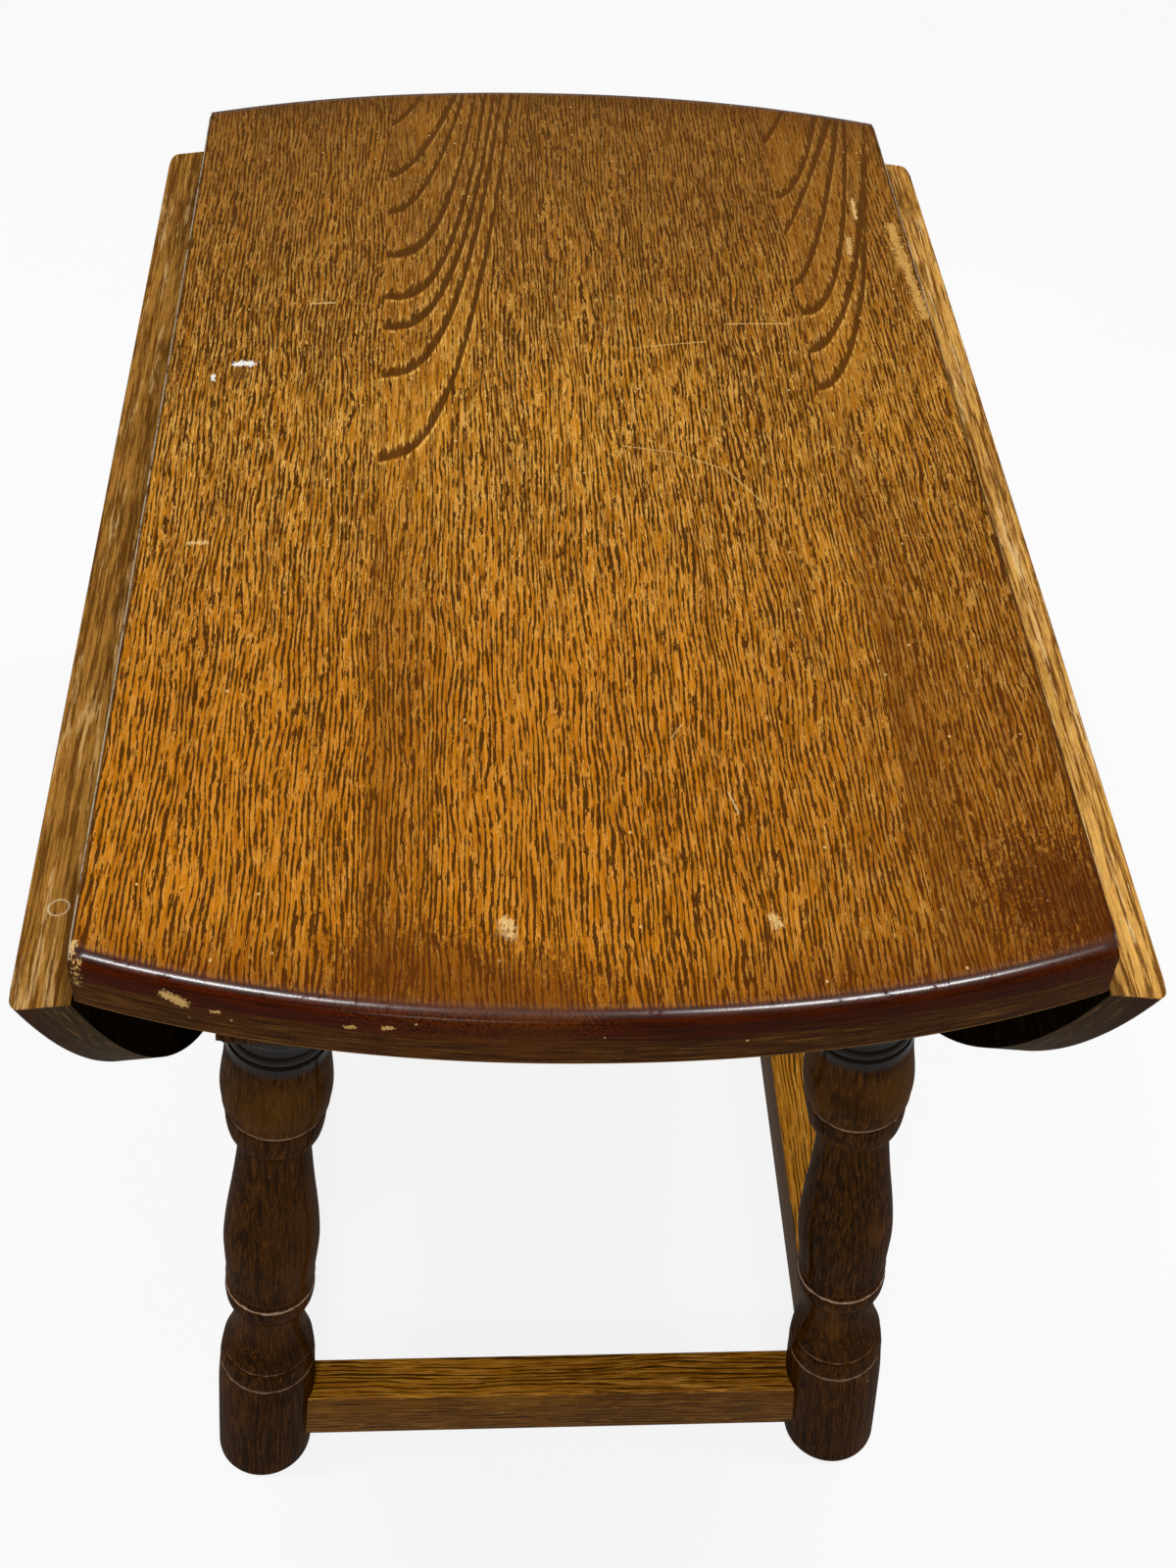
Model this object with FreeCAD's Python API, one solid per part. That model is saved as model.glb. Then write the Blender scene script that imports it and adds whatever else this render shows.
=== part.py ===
import FreeCAD, Part
import math
import os

# A drop leaf side table in oak: a fixed middle board glued from three planks, two D shaped leaves
# that hang on butt hinges, four turned and splayed legs, four top rails, a box of four stretchers,
# and a sliding loper on each side that carries its raised leaf.
# Millimetres. X runs across the table towards the right leaf, Y along it towards the back, Z up.
# The origin is on the floor under the middle of the top.

os.makedirs("parts", exist_ok=True)

Vector = FreeCAD.Vector

# The top
table_height = 566.0
top_length = 729.0
open_width = 898.0
outline_power = 2.12
outline_points = 64
top_width = 400.0
board_thickness = 25.5
left_seam_share = 0.23
right_seam_share = 0.325
end_round = 5.0
arris_cut = 1.2
leaf_joint_gap = 0.4
leaf_hang_angle = 7.5

# The legs
leg_square = 54.5
leg_block_length = 130.0
leg_splay = 4.7
leg_side_setback = 29.5
leg_end_setback = 137.0
shoulder_rise = 9.0

# The top rails
rail_thickness = 22.0
rail_depth = 108.0
rail_setback = 6.0
rail_tenon_length = 18.0
rail_tenon_thickness = 8.0
rail_tenon_shoulder = 12.0

# The stretchers
stretcher_width = 25.5
stretcher_depth = 41.0
stretcher_clear_height = 25.5
stretcher_round = 1.5
stretcher_tenon_length = 15.0
stretcher_tenon_thickness = 10.0
stretcher_tenon_shoulder = 6.0
glue_gap = 0.1

# The hinges
hinge_length = 50.0
hinge_spacing = 380.0
flap_width = 22.0
flap_thickness = 2.0
flap_clearance = 0.2
knuckle_radius = 3.0
knuckle_count = 5
knuckle_gap = 0.3
pin_drop = 1.5
pin_radius = 1.5
pin_running_clearance = 0.05
flap_screw_inset = 7.0
flap_screw_near = 9.5
flap_screw_far = 15.5

# The screws
screw_head_radius = 3.4
screw_head_height = 2.4
screw_shank_radius = 1.8
screw_point_length = 3.0
screw_slot_width = 0.9
screw_slot_depth = 0.8
flap_screw_length = 16.0
screw_bite = 13.0

# The lopers and what guides them
loper_width = 22.0
loper_depth = 28.0
loper_reach = 45.0
loper_spacing = 52.0
loper_clearance = 0.3
loper_stand_out = 6.0
loper_taper_start = 5.0
loper_nose_clearance = 1.2
guide_length = 60.0
guide_rail_gap = 16.0
guide_cheek = 16.0
guide_web = 8.0
guide_screw_inset = 12.0
peg_radius = 3.0
peg_inset = 8.0
peg_stand_out = 7.0
peg_stop_clearance = 3.0

# The buttons that hold the top to the rails
button_length = 28.0
button_width = 24.0
button_depth = 16.0
button_gap = 1.5
button_drop = 9.0
tongue_thickness = 5.0
tongue_length = 7.0
slot_clearance = 0.5
end_button_inset = 38.7
side_button_spacing = 240.0

# How far a cutting tool runs past what it cuts
overrun = 20.0

# The turned profile from the foot up, as shares of the turned length and of half the leg's square.
# Each run is one smooth line, and neighbouring runs meet at a crisp edge.
leg_profile_shares = [
    [(0.008, 0.984), (0.040, 0.990), (0.090, 0.996), (0.140, 1.000), (0.191, 1.000), (0.237, 0.974)],
    [(0.237, 0.974), (0.2405, 0.930)],
    [(0.2405, 0.930), (0.244, 0.959), (0.257, 0.959), (0.2735, 0.933)],
    [(0.2735, 0.933), (0.278, 0.889)],
    [(0.278, 0.889), (0.2825, 0.911), (0.295, 0.867), (0.310, 0.800), (0.328, 0.741), (0.349, 0.715),
     (0.369, 0.719), (0.387, 0.737)],
    [(0.387, 0.737), (0.392, 0.778)],
    [(0.392, 0.778), (0.401, 0.841), (0.415, 0.878), (0.4275, 0.885), (0.435, 0.870)],
    [(0.435, 0.870), (0.439, 0.833)],
    [(0.439, 0.833), (0.4435, 0.859), (0.468, 0.870), (0.501, 0.900), (0.534, 0.922), (0.5725, 0.896),
     (0.611, 0.844), (0.651, 0.778), (0.692, 0.719), (0.728, 0.678), (0.756, 0.670)],
    [(0.756, 0.670), (0.762, 0.748)],
    [(0.762, 0.748), (0.771, 0.830), (0.784, 0.878), (0.799, 0.904), (0.814, 0.915)],
    [(0.814, 0.915), (0.819, 0.881)],
    [(0.819, 0.881), (0.8235, 0.930), (0.840, 0.974), (0.860, 1.000), (0.880, 0.985), (0.906, 0.944),
     (0.931, 0.919), (0.9505, 0.907)],
    [(0.9505, 0.907), (0.954, 0.867)],
    [(0.954, 0.867), (0.9575, 0.896), (0.962, 0.915), (0.967, 0.896)],
    [(0.967, 0.896), (0.9705, 0.859)],
    [(0.9705, 0.859), (0.982, 0.852), (0.9935, 0.904), (1.000, 1.000)],
]

# Places worked out from the sizes above
underside = table_height - board_thickness
half_square = leg_square / 2
lean = math.tan(math.radians(leg_splay))
lean_stretch = 1 / math.cos(math.radians(leg_splay))
axis_length = underside * lean_stretch
turned_length = axis_length - leg_block_length
foot_trim = leg_square * lean
leg_x = top_width / 2 - leg_side_setback
leg_y = top_length / 2 - leg_end_setback
half_top = top_width / 2
left_seam_x = -left_seam_share * top_width
right_seam_x = right_seam_share * top_width
pin_x = half_top + leaf_joint_gap / 2
pin_z = underside - pin_drop
leaf_turn = 90.0 + leaf_hang_angle
rail_bottom = underside - rail_depth
rail_face = half_square - rail_setback
leg_top_x = leg_x - underside * lean
block_inner_x = leg_top_x - half_square * lean_stretch
side_rail_inner_x = leg_top_x + (rail_face - rail_thickness) * lean_stretch
loper_top = underside - loper_clearance
loper_bottom = loper_top - loper_depth
loper_y = loper_spacing / 2

SIDES = {"left": -1, "right": 1}
ENDS = {"front": -1, "back": 1}


def box(x0, x1, y0, y1, z0, z1):
    """Return a box between two corners."""
    return Part.makeBox(x1 - x0, y1 - y0, z1 - z0, Vector(x0, y0, z0))


def upright(x, y, z, radius, height):
    """Return a cylinder that stands on a point."""
    return Part.makeCylinder(radius, height, Vector(x, y, z))


def prism_along_y(points, y0, y1):
    """Return a solid whose XZ outline is a list of corners."""
    corners = [Vector(x, y0, z) for x, z in points]
    face = Part.Face(Part.makePolygon(corners + corners[:1]))
    return face.extrude(Vector(0, y1 - y0, 0))


def mirrored(shape, side):
    """Return a shape made for the right side, turned over for the left when side is negative."""
    if side > 0:
        return shape.copy()
    return shape.mirror(Vector(0, 0, 0), Vector(1, 0, 0))


def hung(shape, side):
    """Return a piece made on the raised leaf, swung down to where the leaf hangs."""
    turned = shape.copy()
    turned.rotate(Vector(side * pin_x, 0, pin_z), Vector(0, 1, 0), side * leaf_turn)
    return turned


def save(name, shape):
    """Write one node."""
    shape.exportStep(os.path.join("parts", name + ".step"))


def end_signs():
    """Return the name and sign of each corner as side name, side, end name, end."""
    return [(s, SIDES[s], e, ENDS[e]) for e in ENDS for s in SIDES]


def outline_point(turn):
    """Return a point on the open top's outline, a full oval, at a turn in radians."""
    power = 2 / outline_power
    across = math.copysign(abs(math.cos(turn)) ** power, math.cos(turn))
    along = math.copysign(abs(math.sin(turn)) ** power, math.sin(turn))
    return Vector(across * open_width / 2, along * top_length / 2, underside)


def open_top():
    """Return the whole oval top with its upper edge rounded."""
    curve = Part.BSplineCurve()
    places = [outline_point(2 * math.pi * i / outline_points) for i in range(outline_points)]
    curve.interpolate(Points=places, PeriodicFlag=True)
    slab = Part.Face(Part.Wire([curve.toShape()])).extrude(Vector(0, 0, board_thickness))
    rim = [edge for edge in slab.Edges if edge.BoundBox.ZMin > table_height - end_round]
    return slab.makeFillet(end_round, rim)


def arris_cutter(x, side):
    """Return the wedge that eases the upper arris of a long edge at x, whose wood lies on one side."""
    corners = [(x - side * arris_cut, table_height + arris_cut), (x - side * arris_cut, table_height),
               (x, table_height - arris_cut), (x + side * arris_cut, table_height - arris_cut),
               (x + side * arris_cut, table_height + arris_cut)]
    return prism_along_y(corners, -top_length, top_length)


def strip(oval, x0, x1):
    """Return the slice of the oval top between two X planes."""
    return oval.common(box(x0, x1, -top_length, top_length, underside - overrun, table_height + overrun))


def top_planks(oval):
    """Return the three planks of the fixed board, before their screw holes."""
    left = strip(oval, -half_top, left_seam_x).cut(arris_cutter(-half_top, -1))
    middle = strip(oval, left_seam_x, right_seam_x)
    right = strip(oval, right_seam_x, half_top).cut(arris_cutter(half_top, 1))
    return {"left": left, "middle": middle, "right": right}


def raised_leaf(oval, side):
    """Return one leaf in its raised place, before its screw holes."""
    inner = half_top + leaf_joint_gap
    low, high = sorted((side * inner, side * open_width))
    return strip(oval, low, high).cut(arris_cutter(side * inner, -side))


def screw_solid(length, slotted):
    """Return a countersunk wood screw with its head's flat face at the origin, pointing up."""
    point_start = length - screw_point_length
    corners = [Vector(0, 0, 0), Vector(screw_head_radius, 0, 0),
               Vector(screw_shank_radius, 0, screw_head_height),
               Vector(screw_shank_radius, 0, point_start), Vector(0, 0, length)]
    face = Part.Face(Part.makePolygon(corners + corners[:1]))
    screw = face.revolve(Vector(0, 0, 0), Vector(0, 0, 1), 360)
    if not slotted:
        return screw
    reach = 2 * screw_head_radius
    half_slot = screw_slot_width / 2
    slot = box(-reach, reach, -half_slot, half_slot, -screw_slot_depth, screw_slot_depth)
    return screw.cut(slot)


def screws_at(places, length, slotted):
    """Return upright screws at a list of points, head down."""
    screws = []
    for place in places:
        screw = screw_solid(length, slotted)
        screw.translate(place)
        screws.append(screw)
    return Part.makeCompound(screws)


def knuckle_rows():
    """Return the start and end of each knuckle along the pin, from the hinge's middle."""
    pitch = (hinge_length + knuckle_gap) / knuckle_count
    starts = [-hinge_length / 2 + i * pitch for i in range(knuckle_count)]
    return [(start, start + pitch - knuckle_gap) for start in starts]


def barrel(y0, y1, radius):
    """Return a cylinder along the pin line between two places."""
    return Part.makeCylinder(radius, y1 - y0, Vector(0, y0, 0), Vector(0, 1, 0))


def flap(first_row, reach_sign, bore_radius):
    """Return one flap of a hinge about its pin line, with the knuckles from first_row on by twos."""
    x0, x1 = sorted((0, reach_sign * flap_width))
    body = box(x0, x1, -hinge_length / 2, hinge_length / 2, pin_drop, pin_drop + flap_thickness)
    reach = knuckle_radius + knuckle_gap
    for row, (start, end) in enumerate(knuckle_rows()):
        if row % 2 == first_row:
            body = body.fuse(barrel(start, end, knuckle_radius))
        else:
            body = body.cut(box(-reach, reach, start - knuckle_gap, end + knuckle_gap, -reach, flap_width))
    body = body.cut(barrel(-hinge_length, hinge_length, bore_radius))
    holes = screws_at(flap_screw_places(reach_sign), flap_screw_length, False)
    return body.cut(holes).removeSplitter()


def hinge_bed(reach_sign):
    """Return what a hinge's flap and knuckles need cut from the board or the raised leaf."""
    half = hinge_length / 2 + flap_clearance
    x0, x1 = sorted((0, reach_sign * (flap_width + flap_clearance)))
    bed = box(x0, x1, -half, half, 0, pin_drop + flap_thickness)
    return bed.fuse(barrel(-half, half, knuckle_radius + knuckle_gap))


def hinge_beds(reach_sign):
    """Return the beds of both right hand hinges at their places."""
    return Part.makeCompound([moved(hinge_bed(reach_sign), hinge_place(end)) for end in ENDS.values()])


def flap_screw_places(reach_sign):
    """Return the heads of one flap's three screws about the hinge's pin line."""
    far_row = hinge_length / 2 - flap_screw_inset
    rows = [(-far_row, flap_screw_near), (0, flap_screw_far), (far_row, flap_screw_near)]
    return [Vector(reach_sign * away, along, pin_drop) for along, away in rows]


def hinge_place(end):
    """Return the middle of a right hand hinge's pin."""
    return Vector(pin_x, end * hinge_spacing / 2, pin_z)


def moved(shape, place):
    """Return a copy of a shape carried to a place."""
    copy = shape.copy()
    copy.translate(place)
    return copy


def board_screw_places():
    """Return where the right side's hinge screws enter the board."""
    return [hinge_place(end) + place for end in ENDS.values() for place in flap_screw_places(-1)]


def leaf_screw_places():
    """Return where the right side's hinge screws enter the raised leaf."""
    return [hinge_place(end) + place for end in ENDS.values() for place in flap_screw_places(1)]


def profile_edges(run):
    """Return one run of the turned profile as an edge in the XZ plane."""
    points = [Vector(radius * half_square, 0, height * turned_length) for height, radius in run]
    if len(points) == 2:
        return Part.LineSegment(points[0], points[1]).toShape()
    curve = Part.BSplineCurve()
    curve.interpolate(points)
    return curve.toShape()


def leg_on_axis():
    """Return one leg standing straight on its own axis, its foot running past the floor."""
    first_height, first_radius = leg_profile_shares[0][0]
    first = Vector(first_radius * half_square, 0, first_height * turned_length)
    low = Vector(first.x, 0, -foot_trim)
    top = Vector(half_square, 0, turned_length)
    shoulder = Vector(leg_square, 0, turned_length + shoulder_rise)
    crown = Vector(leg_square, 0, axis_length + overrun)
    edges = [Part.LineSegment(Vector(0, 0, -foot_trim), low).toShape()]
    edges += [Part.LineSegment(low, first).toShape()]
    edges += [profile_edges(run) for run in leg_profile_shares]
    edges += [Part.LineSegment(top, shoulder).toShape(), Part.LineSegment(shoulder, crown).toShape()]
    edges += [Part.LineSegment(crown, Vector(0, 0, crown.z)).toShape()]
    edges += [Part.LineSegment(Vector(0, 0, crown.z), Vector(0, 0, -foot_trim)).toShape()]
    turning = Part.Face(Part.Wire(edges)).revolve(Vector(0, 0, 0), Vector(0, 0, 1), 360)
    low_end = -foot_trim - overrun
    high_end = crown.z + overrun
    blank = box(-half_square, half_square, -half_square, half_square, low_end, high_end)
    return turning.common(blank)


def leaned(shape, side, end):
    """Return a shape made on a leg's own axis, set at a corner of the table and leaned inward."""
    placed = shape.copy()
    placed.rotate(Vector(0, 0, 0), Vector(0, 1, 0), -side * leg_splay)
    placed.translate(Vector(side * leg_x, end * leg_y, 0))
    return placed


def legs():
    """Return the four legs at their places, before their mortises."""
    blank = leg_on_axis()
    room = box(-open_width, open_width, -top_length, top_length, 0, underside)
    return {(side, end): leaned(blank, side, end).common(room) for _, side, _, end in end_signs()}


def rail_half_width(z, extra):
    """Return half the length of an end rail at a height, out to the leaned faces of the blocks."""
    return leg_x - z * lean - half_square * lean_stretch + extra


def end_rail_outline(z0, z1, extra):
    """Return the XZ outline of an end rail or its tenons, whose shoulders follow the leaned legs."""
    low, high = rail_half_width(z0, extra), rail_half_width(z1, extra)
    return [(-low, z0), (low, z0), (high, z1), (-high, z1)]


def end_rail_tenons(end, grow):
    """Return the tenon of an end rail as one bar through it, grown to cut its mortises."""
    middle = end * (leg_y + rail_face - rail_thickness / 2)
    half = rail_tenon_thickness / 2 + grow
    low = rail_bottom + rail_tenon_shoulder - grow
    high = underside - rail_tenon_shoulder + grow
    outline = end_rail_outline(low, high, rail_tenon_length + grow)
    return prism_along_y(outline, middle - half, middle + half)


def end_rail(end):
    """Return the front or back top rail with its tenons."""
    outer = end * (leg_y + rail_face)
    y0, y1 = sorted((outer, outer - end * rail_thickness))
    plate = prism_along_y(end_rail_outline(rail_bottom, underside, 0), y0, y1)
    return plate.fuse(end_rail_tenons(end, 0)).removeSplitter()


def side_rail_bar(side, thickness, y_reach, z0, z1):
    """Return a bar along Y that leans with the legs and stands central in a side rail."""
    middle = rail_face - rail_thickness / 2
    inner = side * middle - thickness / 2
    bar = box(inner, inner + thickness, -y_reach, y_reach, 0, axis_length + overrun)
    bar.rotate(Vector(0, 0, 0), Vector(0, 1, 0), -side * leg_splay)
    bar.translate(Vector(side * leg_x, 0, 0))
    return bar.common(box(-open_width, open_width, -top_length, top_length, z0, z1))


def side_rail_tenons(side, grow):
    """Return the tenon of a side rail as one bar through it, grown to cut its mortises."""
    reach = leg_y - half_square + rail_tenon_length + grow
    return side_rail_bar(side, rail_tenon_thickness + 2 * grow, reach,
                         rail_bottom + rail_tenon_shoulder - grow, underside - rail_tenon_shoulder + grow)


def loper_notch(side):
    """Return the space that a loper needs through its side rail."""
    half = loper_width / 2 + loper_clearance
    x0, x1 = sorted((0, side * half_top))
    y = side * loper_y
    return box(x0, x1, y - half, y + half, loper_bottom - loper_clearance, underside + overrun)


def side_rail(side):
    """Return the left or right top rail with its tenons and the notch for its loper."""
    plate = side_rail_bar(side, rail_thickness, leg_y - half_square, rail_bottom, underside)
    return plate.fuse(side_rail_tenons(side, 0)).removeSplitter().cut(loper_notch(side))


def rounded_bar(length_half, along_x):
    """Return a stretcher's plain bar along X or Y with its long arrises rounded."""
    half = stretcher_width / 2
    low = stretcher_clear_height
    high = low + stretcher_depth
    if along_x:
        bar = box(-length_half, length_half, -half, half, low, high)
        arrises = [edge for edge in bar.Edges if edge.BoundBox.XLength > length_half]
    else:
        bar = box(-half, half, -length_half, length_half, low, high)
        arrises = [edge for edge in bar.Edges if edge.BoundBox.YLength > length_half]
    return bar.makeFillet(stretcher_round, arrises)


def stretcher_tenon_ends(half_length, along_x, grow):
    """Return the tenons of a stretcher as one bar through it, grown to cut its mortises."""
    half = stretcher_tenon_thickness / 2 + grow
    low = stretcher_clear_height + stretcher_tenon_shoulder - grow
    high = stretcher_clear_height + stretcher_depth - stretcher_tenon_shoulder + grow
    reach = half_length - half_square + stretcher_tenon_length + grow
    if along_x:
        return box(-reach, reach, -half, half, low, high)
    return box(-half, half, -reach, reach, low, high)


def stretcher_x():
    """Return how far a leg's axis stands from the middle at the stretchers' mid height."""
    return leg_x - (stretcher_clear_height + stretcher_depth / 2) * lean


def stretcher_places():
    """Return each stretcher's name with whether it runs along X, its half length and its place."""
    places = {}
    for name, end in ENDS.items():
        places[name] = (True, stretcher_x(), Vector(0, end * leg_y, 0))
    for name, side in SIDES.items():
        places[name] = (False, leg_y, Vector(side * stretcher_x(), 0, 0))
    return places


def stretcher(along_x, half_length, place, feet):
    """Return one stretcher, its shoulders scribed round the turned feet, with its tenons."""
    bar = moved(rounded_bar(half_length, along_x), place)
    for foot in feet:
        bar = bar.cut(foot)
    return bar.fuse(moved(stretcher_tenon_ends(half_length, along_x, 0), place)).removeSplitter()


def loper_nose_x():
    """Return where a loper's nose rests, a finger's hold outside the face of its side rail."""
    return leg_x - loper_bottom * lean + rail_face * lean_stretch + loper_stand_out


def loper_travel():
    """Return how far a loper slides from rest until it reaches out under the raised leaf."""
    return pin_x + loper_reach - loper_nose_x()


def loper_nose_drop():
    """Return how far the top of the nose is eased, so that it slides out under the leaf as it rises.

    Half way up, the leaf's underside dips below the level of the loper by up to this much.
    """
    travel_per_radian = loper_travel() / math.radians(leaf_turn)
    return loper_reach ** 2 / (4 * travel_per_radian) + loper_nose_clearance


def guide_start():
    """Return the inner end of the right guide, which stands clear of its side rail."""
    return side_rail_inner_x - guide_rail_gap - guide_length


def loper_peg_x():
    """Return where the right loper's stop peg rests, so that it meets the guide when pulled right out."""
    return guide_start() - peg_stop_clearance - loper_travel() - peg_radius


def loper_tail_x():
    """Return the inner end of the right loper at rest."""
    return loper_peg_x() - peg_inset


def loper(side):
    """Return a loper at rest, pushed in, with the top of its nose eased in a long slope."""
    nose = loper_nose_x()
    tail = loper_tail_x()
    taper = loper_reach - loper_taper_start
    corners = [(tail, loper_bottom), (nose, loper_bottom), (nose, loper_top - loper_nose_drop()),
               (nose - taper, loper_top), (tail, loper_top)]
    bar = prism_along_y(corners, loper_y - loper_width / 2, loper_y + loper_width / 2)
    return turned_about(bar.cut(loper_peg_solid()), side)


def loper_peg_solid():
    """Return the right loper's stop peg, let into its outer cheek."""
    place = Vector(loper_peg_x(), loper_y, loper_bottom + loper_depth / 2)
    return Part.makeCylinder(peg_radius, loper_width / 2 + peg_stand_out, place, Vector(0, 1, 0))


def turned_about(shape, side):
    """Return a shape made for the right side, given a half turn about Z for the left."""
    copy = shape.copy()
    if side < 0:
        copy.rotate(Vector(0, 0, 0), Vector(0, 0, 1), 180)
    return copy


def guide_screw_places():
    """Return the heads of the four screws of the right guide."""
    x0 = guide_start()
    reach = loper_width / 2 + loper_clearance + guide_cheek / 2
    z = loper_bottom - loper_clearance - guide_web
    rows = (x0 + guide_screw_inset, x0 + guide_length - guide_screw_inset)
    return [Vector(x, loper_y + sign * reach, z) for x in rows for sign in (-1, 1)]


def guide_screw_length():
    """Return the length of a guide screw, through the guide and into the board."""
    return underside - (loper_bottom - loper_clearance - guide_web) + screw_bite


def guide(side):
    """Return the grooved block under the board that a loper slides through."""
    x0 = guide_start()
    channel = loper_width / 2 + loper_clearance
    reach = channel + guide_cheek
    floor = loper_bottom - loper_clearance
    block = box(x0, x0 + guide_length, loper_y - reach, loper_y + reach, floor - guide_web, underside)
    x1 = x0 + guide_length
    high = underside + overrun
    groove = box(x0 - overrun, x1 + overrun, loper_y - channel, loper_y + channel, floor, high)
    holes = screws_at(guide_screw_places(), guide_screw_length(), False)
    return turned_about(block.cut(groove).cut(holes), side)


def button_frames():
    """Return each button's rail name, the turn about Z that faces it inward, and its place on the rail."""
    frames = []
    inner_y = leg_y + rail_face - rail_thickness
    for name, end in ENDS.items():
        for sign in (-1, 1):
            x = sign * (block_inner_x - end_button_inset)
            frames.append((name, 90 * (1 + end), Vector(x, end * inner_y, 0)))
    for name, side in SIDES.items():
        for sign in (-1, 1):
            y = sign * side_button_spacing / 2
            frames.append((name, 90 * side, Vector(side * side_rail_inner_x, y, 0)))
    return frames


def button_at(turn, place, grow):
    """Return one button whose tongue points into its rail, or with grow the slot that its tongue needs."""
    half = button_width / 2
    tongue_top = underside - button_drop
    if grow:
        solid = box(-half - grow, half + grow, -tongue_length - grow, button_length / 2,
                    tongue_top - tongue_thickness - grow, tongue_top + grow)
    else:
        body = box(-half, half, button_gap, button_length, underside - button_depth, underside)
        tongue_bottom = tongue_top - tongue_thickness
        tongue = box(-half, half, -tongue_length, button_length / 2, tongue_bottom, tongue_top)
        solid = body.fuse(tongue).removeSplitter()
        hole = moved(screw_solid(button_depth + screw_bite, False), button_screw_offset())
        solid = solid.cut(hole)
    solid.rotate(Vector(0, 0, 0), Vector(0, 0, 1), turn)
    solid.translate(place)
    return solid


def button_screw_offset():
    """Return the head of a button's screw in the button's own frame."""
    return Vector(0, (button_gap + button_length) / 2, underside - button_depth)


def button_screw_places():
    """Return the heads of the screws of all buttons."""
    places = []
    for _, turn, place in button_frames():
        offset = FreeCAD.Rotation(Vector(0, 0, 1), turn).multVec(button_screw_offset())
        places.append(offset + place)
    return places


def build_top(oval):
    """Write the planks and the leaves with every screw hole that enters them."""
    board_holes = screws_at(board_screw_places(), flap_screw_length, False)
    guide_holes = screws_at(guide_screw_places(), guide_screw_length(), False)
    button_holes = screws_at(button_screw_places(), button_depth + screw_bite, False)
    for name, plank in top_planks(oval).items():
        if name in SIDES:
            side = SIDES[name]
            plank = plank.cut(mirrored(hinge_beds(-1), side)).cut(mirrored(board_holes, side))
        for side in SIDES.values():
            plank = plank.cut(turned_about(guide_holes, side))
        save("top_plank_" + name, plank.cut(button_holes))
    leaf_holes = screws_at(leaf_screw_places(), flap_screw_length, False)
    for name, side in SIDES.items():
        leaf = raised_leaf(oval, side).cut(mirrored(hinge_beds(1), side)).cut(mirrored(leaf_holes, side))
        save(name + "_leaf", hung(leaf, side))


def build_frame():
    """Write the legs, rails and stretchers, each mortise cut from the tenon that it takes."""
    plain_legs = legs()
    tenons = [end_rail_tenons(end, glue_gap) for end in ENDS.values()]
    tenons += [side_rail_tenons(side, glue_gap) for side in SIDES.values()]
    for name, (along_x, half_length, place) in stretcher_places().items():
        save(name + "_stretcher", stretcher(along_x, half_length, place, plain_legs.values()))
        tenons.append(moved(stretcher_tenon_ends(half_length, along_x, glue_gap), place))
    for side_name, side, end_name, end in end_signs():
        leg = plain_legs[(side, end)]
        for tenon in tenons:
            leg = leg.cut(tenon)
        save(end_name + "_" + side_name + "_leg", leg)
    rails = {name: end_rail(end) for name, end in ENDS.items()}
    rails.update({name: side_rail(side) for name, side in SIDES.items()})
    for rail_name, turn, place in button_frames():
        rails[rail_name] = rails[rail_name].cut(button_at(turn, place, slot_clearance))
    for name, rail in rails.items():
        save(name + "_rail", rail)


def build_hinges():
    """Write the flaps, pins and screws of the four hinges."""
    board_flap = flap(0, -1, pin_radius)
    leaf_flap = flap(1, 1, pin_radius + pin_running_clearance)
    pin = barrel(-hinge_length / 2, hinge_length / 2, pin_radius)
    for side_name, side, end_name, end in end_signs():
        stem = end_name + "_" + side_name + "_hinge_"
        save(stem + "board_flap", mirrored(moved(board_flap, hinge_place(end)), side))
        save(stem + "leaf_flap", hung(mirrored(moved(leaf_flap, hinge_place(end)), side), side))
        save(stem + "pin", mirrored(moved(pin, hinge_place(end)), side))
    board_screws = screws_at(board_screw_places(), flap_screw_length, True)
    save("board_hinge_screws", Part.makeCompound([mirrored(board_screws, side) for side in SIDES.values()]))
    leaf_screws = screws_at(leaf_screw_places(), flap_screw_length, True)
    for name, side in SIDES.items():
        save(name + "_leaf_hinge_screws", hung(mirrored(leaf_screws, side), side))


def build_lopers():
    """Write the lopers with their pegs, guides and screws."""
    for name, side in SIDES.items():
        save(name + "_loper", loper(side))
        save(name + "_loper_peg", turned_about(loper_peg_solid(), side))
        save(name + "_loper_guide", guide(side))
    screws = screws_at(guide_screw_places(), guide_screw_length(), True)
    save("loper_guide_screws", Part.makeCompound([turned_about(screws, side) for side in SIDES.values()]))


def build_buttons():
    """Write the wooden buttons that hold the top down and their screws."""
    save("top_buttons", Part.makeCompound([button_at(turn, place, 0) for _, turn, place in button_frames()]))
    save("top_button_screws", screws_at(button_screw_places(), button_depth + screw_bite, True))


build_top(open_top())
build_frame()
build_hinges()
build_lopers()
build_buttons()
print("loper travel", round(loper_travel(), 3), "pin x", round(pin_x, 3), "pin z", round(pin_z, 3))
print("loper y", loper_y, "nose drop", round(loper_nose_drop(), 3))
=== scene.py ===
import logging
import math
from collections.abc import Callable
from dataclasses import dataclass, field
from enum import Enum

import bmesh
import bpy
import numpy as np
from mathutils import Matrix, Vector


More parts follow.
